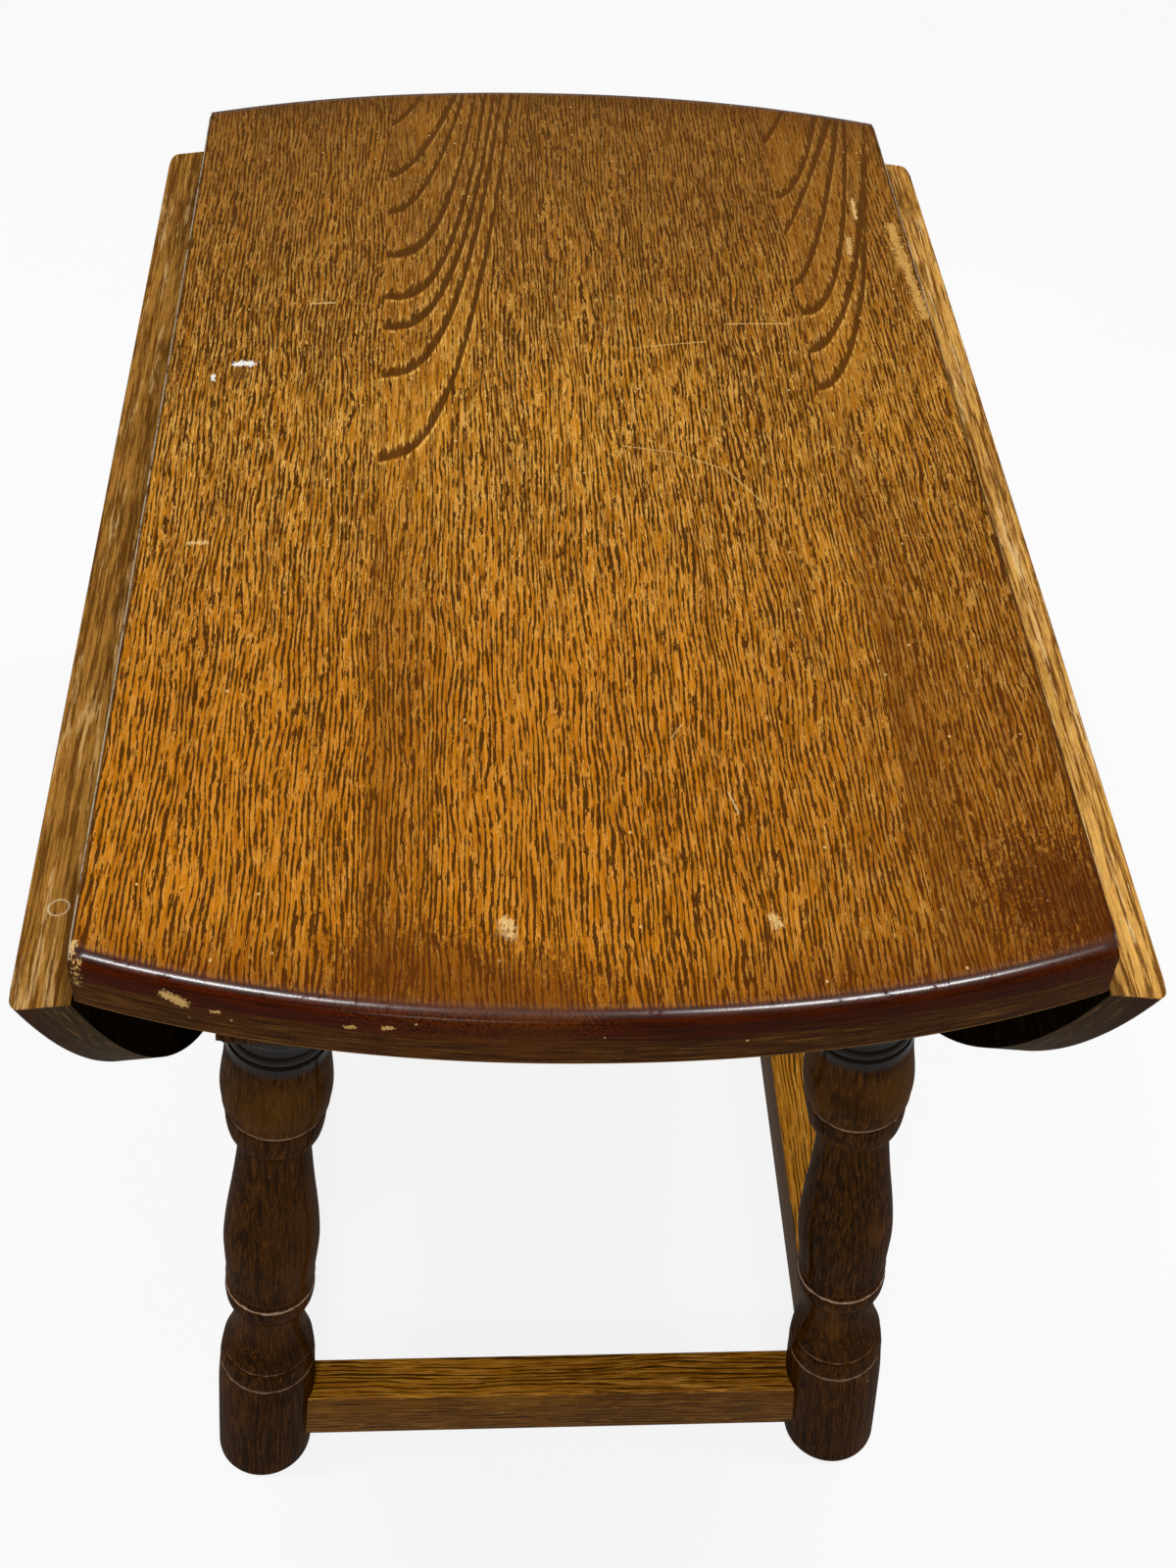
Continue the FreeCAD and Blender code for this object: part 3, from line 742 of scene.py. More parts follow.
@dataclass(frozen=True)
class DarkPolishFinish(OakFinish):
    """Turned oak under dark glossy polish, rubbed through to brown on its fullest parts.

    A painted ring highlight is its height and its half width in millimetres, and how strongly it covers.
    """

    rubbed_and_painted_glint: Colour = paint(92, 54, 20)
    rub: float = 0.3
    ring_highlight_colour: Colour = paint(176, 142, 118)
    collar_coat: float = 0.3
    # Painted highlights: pale lines at the rings' heights, for the light that the rings catch.
    painted_ring_highlights: tuple[Spot, ...] = (
        (98.6, 0.6, 0.45), (114.8, 0.6, 0.4), (161.0, 0.6, 0.45), (178.6, 1.0, 0.85), (313.0, 0.6, 0.4),
        (337.2, 0.6, 0.45))

    def collar(self, own: Term) -> Term:
        """Return 1 on the collar under the block."""
        return own.parts()[1].band(384, 390, 413, 418)

    def sheen(self, own: Term) -> Term | float:
        """Return the weight of the polish, thick on the collar."""
        return self.collar(own).lerp(self.coat, self.collar_coat)

    def tone(self, own: Term, colour: Term) -> Term:
        """Return the colour with slow dark and light clouds, small pale nicks and painted highlights on the rings.

        Args:
            own: The place on the piece.
            colour: The colour so far.

        Returns:
            The toned colour.
        """
        height = own.parts()[1]
        cloud = own.noise((26, 9, 26), 4, 0.6)
        ball = height.band(336, 350, 374, 386) * cloud.step(0.34, 0.6)
        tan = own.noise((31, 15, 31), 3, 0.55).step(0.60, 0.70)
        nick = own.nicks((62, 38, 62), 0.82, 0.03, 0.07)
        speck = own.noise((190, 190, 190), 3, 0.7) - 0.5
        rings = []
        # Painted highlight on each ring, broken by a speckle.
        for level, width, cover in self.painted_ring_highlights:
            away = speck * (3.0 * width * MM) + abs(height - level * MM)
            rings.append((away.step(width * MM, 0.4 * width * MM) * cover, self.ring_highlight_colour))
        return colour.tinted((cloud.step(0.48, 0.72) * self.rub, self.rubbed_and_painted_glint), (ball * 0.2, paint(122, 80, 24)),
                             (tan * 0.3, paint(110, 66, 22)), (nick * 0.7, paint(150, 122, 84)), *rings,
                             (self.collar(own) * 0.92, paint(10, 7, 3)))


@dataclass(frozen=True)
class LowRailFinish(OakFinish):
    """A stretcher's oak: golden on top, with painted shade on its sides and a painted highlight on its upper arrises.
    """

    sizes: TableSizes = TableSizes()
    # The colour of the painted shade on the sides.
    side: Colour = paint(58, 33, 8)

    def tone(self, own: Term, colour: Term) -> Term:
        """Return the colour with painted shade on the sides and a painted highlight on the upper arrises.

        Args:
            own: The place on the piece.
            colour: The colour so far.

        Returns:
            The toned colour.
        """
        z, top = own.parts()[2], self.sizes.stretcher_top
        # Painted shade below the top, and a painted highlight broken by nicks on the upper arrises.
        low = z.step(top - 0.8 * MM, top - 2.2 * MM)
        nick = own.noise((240, 30, 240), 3, 0.7).step(0.5, 0.62)
        rubbed_and_painted_glint = z.step(top - 2.6 * MM, top - 1.6 * MM) * low * nick
        return colour.tinted((low * 0.70, self.side), (rubbed_and_painted_glint, paint(188, 138, 70)))


@dataclass(frozen=True)
class MetalFinish:
    """Old iron or steel with a brown bloom."""

    name: str
    bright: Colour
    bloom: Colour
    roughness: float = 0.45
    bloom_share: float = 0.6

    def dress(self) -> bpy.types.Material:
        """Build the material.

        Returns:
            The finished material.
        """
        graph = Graph(self.name)
        place = graph.place(GrainFrom.ALONG)
        cloud = place.noise((160, 160, 160), 4, 0.65)
        grit = place.noise((1500, 1500, 1500))
        share = cloud.step(0.38, 0.62) * self.bloom_share
        return graph.close(graph.term("BsdfPrincipled", {
            "Base Color": share.blend(self.bright, self.bloom), "Roughness": share * 0.35 + self.roughness,
            "Metallic": 0.85, "Normal": graph.bump(cloud + grit * 0.3, 0.08 * MM)}))


@dataclass
class Piece:
    """One visible piece and what it stands for."""

    item: bpy.types.Object
    body: str
    slot: str
    nodes: tuple[str, ...]

    def settle(self) -> None:
        """Hide the parts that the piece replaces and hang it on the body that it rides on."""
        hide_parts(*self.nodes)
        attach(self.item, self.body)
        log.info("%s rides on %s for %s, %d faces", self.item.name, self.body, ", ".join(self.nodes),
                 len(self.item.data.polygons))


def placed(name: str, data: bpy.types.ID) -> bpy.types.Object:
    """Make an object and link it to the scene.

    Args:
        name: The object's name.
        data: Its mesh, lamp or camera.

    Returns:
        The new object.
    """
    item = bpy.data.objects.new(name, data)
    bpy.context.scene.collection.objects.link(item)
    return item


def applied(item: bpy.types.Object) -> bpy.types.Mesh:
    """Return a copy of an object's mesh with its modifiers applied."""
    graph = bpy.context.evaluated_depsgraph_get()
    return bpy.data.meshes.new_from_object(item.evaluated_get(graph))


def lay(mesh: bpy.types.Mesh, lie: np.ndarray) -> None:
    """Give a mesh the place attribute that its finish reads."""
    given = mesh.attributes.new(LIE, "FLOAT_VECTOR", "POINT")
    given.data.foreach_set("vector", np.asarray(lie, np.float32).ravel())


def soften(mesh: bpy.types.Mesh, crease: float) -> None:
    """Split the large flat faces and shade a mesh smooth up to a crease.

    Args:
        mesh: The mesh to change.
        crease: Edges that turn by more than this many degrees stay crisp.
    """
    made = bmesh.new()
    made.from_mesh(mesh)
    bmesh.ops.triangulate(made, faces=[f for f in made.faces if len(f.verts) > 4], ngon_method="EAR_CLIP")
    for edge in made.edges:
        edge.smooth = len(edge.link_faces) != 2 or edge.calc_face_angle(0.0) < math.radians(crease)
    for face in made.faces:
        face.smooth = True
    made.to_mesh(mesh)
    made.free()


def solid(name: str, vertices: np.ndarray, faces: list[Face], lie: np.ndarray, material: bpy.types.Material,
          crease: float = CREASE) -> bpy.types.Object:
    """Make one closed mesh object with a smooth surface and its own place attribute.

    Args:
        name: The object's name.
        vertices: The corners in metres.
        faces: Corner numbers of each face.
        lie: The place of each corner on the straight piece, with its grain along the second part.
        material: The finish.
        crease: Edges that turn by more than this many degrees stay crisp.

    Returns:
        The new object, linked to the scene.
    """
    mesh = bpy.data.meshes.new(name)
    mesh.from_pydata([tuple(v) for v in vertices], [], faces)
    lay(mesh, lie)
    soften(mesh, crease)
    mesh.materials.append(material)
    return placed(name, mesh)


def stacked(rings: int, count: int) -> list[Face]:
    """Return the faces of a closed stack of rings.

    Args:
        rings: How many rings there are.
        count: How many corners each has.

    Returns:
        The first ring's cap, the walls and the last ring's cap.
    """
    last = (rings - 1) * count
    faces: list[Face] = [tuple(reversed(range(count)))]
    for base in range(0, last, count):
        for i in range(count):
            after = (i + 1) % count
            faces.append((base + i, base + after, base + count + after, base + count + i))
    return [*faces, tuple(range(last, last + count))]


@dataclass
class Outline:
    """A flat closed outline with how much each side is rounded above and below."""

    points: list[Point] = field(default_factory=list)
    above: list[float] = field(default_factory=list)
    below: list[float] = field(default_factory=list)
    stretch: float = 1.6

    def add(self, point: Point, above: float, below: float) -> None:
        """Add a point and the side that leaves it.

        Args:
            point: The point.
            above: How much the side is rounded above.
            below: How much it is rounded below.
        """
        self.points.append(point)
        self.above.append(above)
        self.below.append(below)

    def ring(self, rounding: list[float], share: float) -> np.ndarray:
        """Return the outline moved inward by a share of each side's rounding.

        Args:
            rounding: The rounding of each side.
            share: The share of it to move by.

        Returns:
            One point for each corner.
        """
        points = np.array(self.points)
        run = np.roll(points, -1, axis=0) - points
        run /= np.linalg.norm(run, axis=1)[:, None]
        out = np.stack([run[:, 1], -run[:, 0]], axis=1)
        moved = []
        for i in range(len(points)):
            before, after = out[i - 1], out[i]
            depth_before, depth_after = rounding[i - 1] * share, rounding[i] * share
            cross = before[0] * after[1] - before[1] * after[0]
            if abs(cross) < 0.5:
                depth = (depth_before + depth_after) / 2
                moved.append(points[i] - (before + after) * depth / (1 + before @ after))
            else:
                grid = np.array([before, after])
                moved.append(points[i] + np.linalg.solve(grid, [-depth_before, -depth_after]))
        return np.array(moved)

    def slab(self, low: float, high: float, steps: int) -> tuple[np.ndarray, list[Face]]:
        """Return the outline made into a slab with rounded arrises.

        Args:
            low: The underside's height.
            high: The upper face's height.
            steps: How many steps each rounding has.

        Returns:
            The corners and the faces.
        """
        near_above, near_below = (np.maximum(np.roll(side, 1), side) for side in (self.above, self.below))
        turns = [math.pi / 2 * step / steps for step in range(steps + 1)]
        rings = [np.column_stack([self.ring(self.below, 1 - math.sin(turn)), low + near_below * (1 - math.cos(turn))])
                 for turn in turns]
        rings += [np.column_stack([self.ring(self.above, (1 - math.cos(turn)) * self.stretch),
                                   high - near_above * (1 - math.sin(turn))]) for turn in turns]
        return np.vstack(rings), stacked(len(rings), len(self.points))


@dataclass
class Top:
    """The fixed board of three planks and the two leaves."""

    sizes: TableSizes
    spacing: float = 5 * MM
    rim_points: int = 150
    end_round: float = 5 * MM
    long_round: float = 1.3 * MM
    rim_below: float = 0.5 * MM
    seam_round: float = 0.18 * MM
    round_steps: int = 8
    side_points: int = 9
    corner_clear: float = 1.3
    bed_play: float = 0.4 * MM
    facing_down: float = -0.6

    def end_run(self, start: float, stop: float, sign: int) -> list[Point]:
        """Return points of one curved end between two places across the board.

        Args:
            start: Where the run starts.
            stop: Where it stops.
            sign: -1 at the front and 1 at the back.

        Returns:
            The points from start to stop.
        """
        count = max(2, round(abs(stop - start) / self.spacing))
        places = np.linspace(start, stop, count + 1)
        return [(float(x), sign * self.sizes.half_length(float(x))) for x in places]

    def rim_run(self, side: Side) -> list[Point]:
        """Return the points of a leaf's rim from its front corner to its back corner.

        Args:
            side: The leaf's side.

        Returns:
            The points.
        """
        sizes = self.sizes
        power = 2 / sizes.outline_power
        share = ((sizes.top_width / 2 + sizes.joint_gap) / (sizes.open_width / 2)) ** (1 / power)
        run = []
        for turn in np.linspace(-math.acos(share), math.acos(share), self.rim_points):
            x = math.cos(turn) ** power * sizes.open_width / 2
            y = math.copysign(abs(math.sin(turn)) ** power, math.sin(turn)) * sizes.top_length / 2
            run.append((side.value * x, float(y)))
        return run

    def plank_outline(self, low: float, high: float) -> Outline:
        """Return the outline of the plank between two places across the board.

        Args:
            low: The plank's left side.
            high: Its right side.

        Returns:
            The outline, turning left.
        """
        outline = Outline()
        for end, start, stop in ((End.FRONT, low, high), (End.BACK, high, low)):
            for place in self.end_run(start, stop, end.value):
                outline.add(place, self.end_round, self.rim_below)
            self.side_run(outline, stop, end.value, abs(stop) < self.sizes.top_width / 2 - MM)
        return outline

    def side_run(self, outline: Outline, x: float, sign: int, seam: bool) -> None:
        """Add the points of a straight side that leaves the outline's last point.

        Args:
            outline: The outline to add to.
            x: Where the side is.
            sign: The sign along Y of the end that the run leaves.
            seam: Whether the side is glued to another plank.
        """
        above, below = (self.seam_round, self.seam_round) if seam else (self.long_round, self.rim_below)
        outline.above[-1], outline.below[-1] = above, below
        reach = abs(outline.points[-1][1]) - self.corner_clear * self.end_round * outline.stretch
        for share in np.linspace(1, -1, self.side_points):
            outline.add((x, float(sign * share * reach)), above, below)

    def leaf_outline(self, side: Side) -> Outline:
        """Return a raised leaf's outline.

        Args:
            side: The leaf's side.

        Returns:
            The outline, turning left.
        """
        outline = Outline()
        for place in self.rim_run(side):
            outline.add(place, self.end_round, self.rim_below)
        self.side_run(outline, outline.points[0][0], 1, False)
        if side is Side.LEFT:
            outline.points.reverse()
            outline.above = list(np.roll(outline.above[::-1], -1))
            outline.below = list(np.roll(outline.below[::-1], -1))
        return outline

    def bed_cutter(self) -> bpy.types.Object:
        """Return one object in the shape of all four hinges' beds, on board and leaf.

        Returns:
            The object.
        """
        sizes = self.sizes
        x, z = sizes.pin
        height = sizes.pin_drop + sizes.flap_thickness
        size = Matrix.Diagonal((2 * sizes.flap_width, sizes.hinge_length + self.bed_play, height, 1))
        made = bmesh.new()
        for side in Side:
            for end in End:
                centre = Vector((side.value * x, end.value * sizes.hinge_spacing / 2, z + height / 2))
                bmesh.ops.create_cube(made, size=1.0, matrix=Matrix.Translation(centre) @ size)
        mesh = bpy.data.meshes.new("hinge_bed_cutter")
        made.to_mesh(mesh)
        made.free()
        return placed("hinge_bed_cutter", mesh)

    def cut(self, item: bpy.types.Object, cutter: bpy.types.Object) -> None:
        """Cut the hinge beds from a piece and give its place attribute anew.

        Args:
            item: The piece, raised.
            cutter: The beds.
        """
        change = item.modifiers.new("beds", "BOOLEAN")
        change.operation = "DIFFERENCE"
        change.solver = "EXACT"
        change.object = cutter
        mesh, old = applied(item), item.data
        item.modifiers.clear()
        item.data = mesh
        bpy.data.meshes.remove(old)
        if LIE in mesh.attributes:
            mesh.attributes.remove(mesh.attributes[LIE])
        place = np.zeros(len(mesh.vertices) * 3, np.float32)
        mesh.vertices.foreach_get("co", place)
        lay(mesh, place)
        soften(mesh, CREASE)

    def line_under(self, item: bpy.types.Object, under: bpy.types.Material) -> None:
        """Give the faces that look down their own dull finish."""
        item.data.materials.append(under)
        for face in item.data.polygons:
            face.material_index = int(face.normal.z < self.facing_down)

    def build(self, board: bpy.types.Material, leaves: dict[Side, bpy.types.Material],
              under: dict[str, bpy.types.Material]) -> list[Piece]:
        """Make the planks and the leaves.

        Args:
            board: The planks' finish.
            leaves: Each leaf's finish.
            under: The finishes of the undersides of "board" and "leaf".

        Returns:
            The five pieces.
        """
        sizes = self.sizes
        half = sizes.top_width / 2
        cutter = self.bed_cutter()
        pieces = []
        spans = {"left": (-half, sizes.left_seam), "middle": (sizes.left_seam, sizes.right_seam),
                 "right": (sizes.right_seam, half)}
        for word, (low, high) in spans.items():
            vertices, faces = self.plank_outline(low, high).slab(sizes.underside, sizes.height, self.round_steps)
            item = solid(f"{word}_plank", vertices, faces, vertices, board)
            self.line_under(item, under["board"])
            if word != "middle":
                self.cut(item, cutter)
            pieces.append(Piece(item, FRAME, "top_oak", (f"top_plank_{word}",)))
        for side in Side:
            vertices, faces = self.leaf_outline(side).slab(sizes.underside, sizes.height, self.round_steps)
            item = solid(f"{side.word}_drop_leaf", vertices, faces, vertices, leaves[side])
            # The leaf's underside takes the near-black painted shade.
            self.line_under(item, under["leaf"])
            self.cut(item, cutter)
            item.data.transform(sizes.hang(side))
            pieces.append(Piece(item, f"{side.word}_leaf", "leaf_oak", (f"{side.word}_leaf",)))
        bpy.data.objects.remove(cutter)
        return pieces


@dataclass
class TurnedLegs:
    """The four legs, each turned below and left square above, leaning inward.

    The profile's points are a height and a radius in shares of the turned length and of half the square.
    Each run is a fair curve that starts at the last point of the run before, and a run of one is a step.
    """

    sizes: TableSizes
    around: int = 96
    arris: float = 0.9 * MM
    crease: float = 26.0
    foot_round: float = 5 * MM
    foot_top: float = 8 * MM
    foot_rings: int = 7
    shoulder: float = 9 * MM
    shoulder_rings: int = 9
    block_rings: int = 8
    curve_step: float = 0.006
    grain_apart: Point = (0.7, 0.3)
    profile: tuple[tuple[Point, ...], ...] = (
        ((0.008, 0.984), (0.040, 0.990), (0.090, 0.996), (0.140, 1.000), (0.191, 1.000), (0.237, 0.974)),
        ((0.2405, 0.930),),
        ((0.244, 0.959), (0.257, 0.959), (0.2735, 0.933)),
        ((0.278, 0.889),),
        ((0.2825, 0.911), (0.295, 0.867), (0.310, 0.800), (0.328, 0.741), (0.349, 0.715), (0.369, 0.719),
         (0.387, 0.737)),
        ((0.392, 0.778),),
        ((0.401, 0.841), (0.415, 0.878), (0.4275, 0.885), (0.435, 0.870)),
        ((0.439, 0.833),),
        ((0.4435, 0.859), (0.468, 0.870), (0.501, 0.900), (0.534, 0.922), (0.5725, 0.896), (0.611, 0.844),
         (0.651, 0.778), (0.692, 0.719), (0.728, 0.678), (0.756, 0.670)),
        ((0.762, 0.748),),
        ((0.771, 0.830), (0.784, 0.878), (0.799, 0.904), (0.814, 0.915)),
        ((0.819, 0.881),),
        ((0.8235, 0.930), (0.840, 0.974), (0.860, 1.000), (0.880, 0.985), (0.906, 0.944), (0.931, 0.919),
         (0.9505, 0.907)),
        ((0.954, 0.867),),
        ((0.9575, 0.896), (0.962, 0.915), (0.967, 0.896)),
        ((0.9705, 0.859),),
        ((0.982, 0.852), (0.9935, 0.904), (1.000, 1.000)),
    )

    def smooth_run(self, run: tuple[Point, ...]) -> list[Point]:
        """Return one run of the profile as a fine curve through its points.

        Args:
            run: Heights and radii as shares.

        Returns:
            Finer heights and radii as shares.
        """
        if len(run) == 2:
            return list(run)
        height = np.array([p[0] for p in run])
        radius = np.array([p[1] for p in run])
        slope = np.gradient(radius, height)
        slope[0] = (radius[1] - radius[0]) / (height[1] - height[0])
        slope[-1] = (radius[-1] - radius[-2]) / (height[-1] - height[-2])
        points = []
        for i in range(len(run) - 1):
            span = height[i + 1] - height[i]
            count = max(2, math.ceil(span / self.curve_step))
            for t in np.linspace(0, 1, count, endpoint=False):
                value = ((2 * t**3 - 3 * t**2 + 1) * radius[i] + (t**3 - 2 * t**2 + t) * span * slope[i]
                         + (-2 * t**3 + 3 * t**2) * radius[i + 1] + (t**3 - t**2) * span * slope[i + 1])
                points.append((float(height[i] + span * t), float(value)))
        points.append(run[-1])
        return points

    def square_reach(self, turn: float) -> float:
        """Return how far the square blank reaches at a turn, with its arrises eased.

        Args:
            turn: The direction in radians.

        Returns:
            The reach in metres.
        """
        half = self.sizes.leg_square / 2
        x, y = abs(math.cos(turn)), abs(math.sin(turn))
        plain = half / max(x, y)
        if plain * min(x, y) <= half - self.arris:
            return plain
        corner = (half - self.arris) * (x + y)
        inside = corner * corner - (2 * (half - self.arris) ** 2 - self.arris**2)
        return corner + math.sqrt(max(inside, 0.0))

    def levels(self) -> list[Point]:
        """Return the heights up the axis and radii of the turning, then of the square block.

        Returns:
            The heights and radii.
        """
        sizes = self.sizes
        turned = sizes.underside / math.cos(sizes.splay) - sizes.block_length
        half = sizes.leg_square / 2
        levels: list[Point] = []
        before: tuple[Point, ...] = ()
        for run in self.profile:
            for height, radius in self.smooth_run((*before, *run)):
                if not levels or height * turned - levels[-1][0] > TINY:
                    levels.append((height * turned, radius * half))
            before = run[-1:]
        for share in np.linspace(0.1, 1, self.shoulder_rings):
            levels.append((turned + self.shoulder * float(share), half + half * float(share)))
        for share in np.linspace(0.1, 1, self.block_rings):
            levels.append((turned + self.shoulder + (sizes.block_length - self.shoulder) * float(share), 2 * half))
        return levels

    def one(self, side: Side, end: End, material: bpy.types.Material) -> Piece:
        """Make one leg.

        Args:
            side: Its side of the table.
            end: Its end of the table.
            material: Its finish.

        Returns:
            The leg.
        """
        sizes = self.sizes
        slant = -side.value * sizes.splay
        lean = Matrix.Rotation(slant, 3, "Y")
        base = Vector((side.value * sizes.leg_spread / 2, end.value * sizes.leg_spacing / 2, 0))
        apart = self.grain_apart[1] * end.value, self.grain_apart[0] * side.value
        turns = [math.pi / 4 + 2 * math.pi * i / self.around for i in range(self.around)]
        places: list[Vector] = []
        lies: list[Spot] = []
        levels = self.levels()
        foot = levels[0][1]
        rows = [(self.foot_round * (1 - math.cos(turn)), foot - self.foot_round * (1 - math.sin(turn)), True)
                for turn in np.linspace(0, math.pi / 2, self.foot_rings)]
        rows += [(height, radius, False) for height, radius in levels if height > self.foot_top]
        for height, radius, level in rows:
            for turn in turns:
                reach = min(radius, self.square_reach(turn))
                x, y = reach * math.cos(turn), reach * math.sin(turn)
                up = (height + x * math.sin(slant)) / math.cos(slant) if level else height
                up = min(up, (sizes.underside + x * math.sin(slant)) / math.cos(slant))
                places.append(lean @ Vector((x, y, up)) + base)
                lies.append((x + apart[0] + apart[1], up, y))
        item = solid(f"{end.word}_{side.word}_turned_leg", np.array(places), stacked(len(rows), self.around),
                     np.array(lies), material, self.crease)
        return Piece(item, FRAME, "leg_oak", (f"{end.word}_{side.word}_leg",))

    def build(self, material: bpy.types.Material) -> list[Piece]:
        """Make all four legs."""
        return [self.one(side, end, material) for side in Side for end in End]


@dataclass
class Stretchers:
    """The four rails near the floor."""

    sizes: TableSizes
    rounding: float = 1.8 * MM
    steps: int = 5
    rings: int = 13
    bite: float = 18 * MM

    def one(self, word: str, half: float, place: Vector, along_x: bool, material: bpy.types.Material) -> Piece:
        """Make one stretcher.

        Args:
            word: The name of its side or end of the table.
            half: Half its length.
            place: Its middle on the floor.
            along_x: Whether it runs across the table.
            material: Its finish.

        Returns:
            The stretcher.
        """
        width = self.sizes.stretcher_width / 2
        low, high = self.sizes.stretcher_rise, self.sizes.stretcher_top
        section: list[Point] = []
        for x, z, start in ((width, low, -90), (width, high, 0), (-width, high, 90), (-width, low, 180)):
            inner = (x - math.copysign(self.rounding, x), z + (self.rounding if z == low else -self.rounding))
            for step in range(self.steps + 1):
                turn = math.radians(start + 90 * step / self.steps)
                section.append((inner[0] + self.rounding * math.cos(turn), inner[1] + self.rounding * math.sin(turn)))
        places, lies = [], []
        for along in np.linspace(-half, half, self.rings):
            for across, up in section:
                spot = Vector((along, across, up)) if along_x else Vector((-across, along, up))
                places.append(spot + place)
                lies.append((across + place.y + place.x, along, up))
        item = solid(f"{word}_low_rail", np.array(places), stacked(self.rings, len(section)), np.array(lies), material)
        return Piece(item, FRAME, "stretcher_oak", (f"{word}_stretcher",))

    def build(self, material: bpy.types.Material) -> list[Piece]:
        """Make the four stretchers.

        Args:
            material: Their finish.

        Returns:
            The pieces.
        """
        sizes = self.sizes
        middle = sizes.stretcher_rise + sizes.stretcher_depth / 2
        x = sizes.leg_spread / 2 - middle * math.tan(sizes.splay)
        y = sizes.leg_spacing / 2
        made = [self.one(end.word, x - self.bite, Vector((0, end.value * y, 0)), True, material) for end in End]
        return made + [self.one(side.word, y - self.bite, Vector((side.value * x, 0, 0)), False, material)
                       for side in Side]


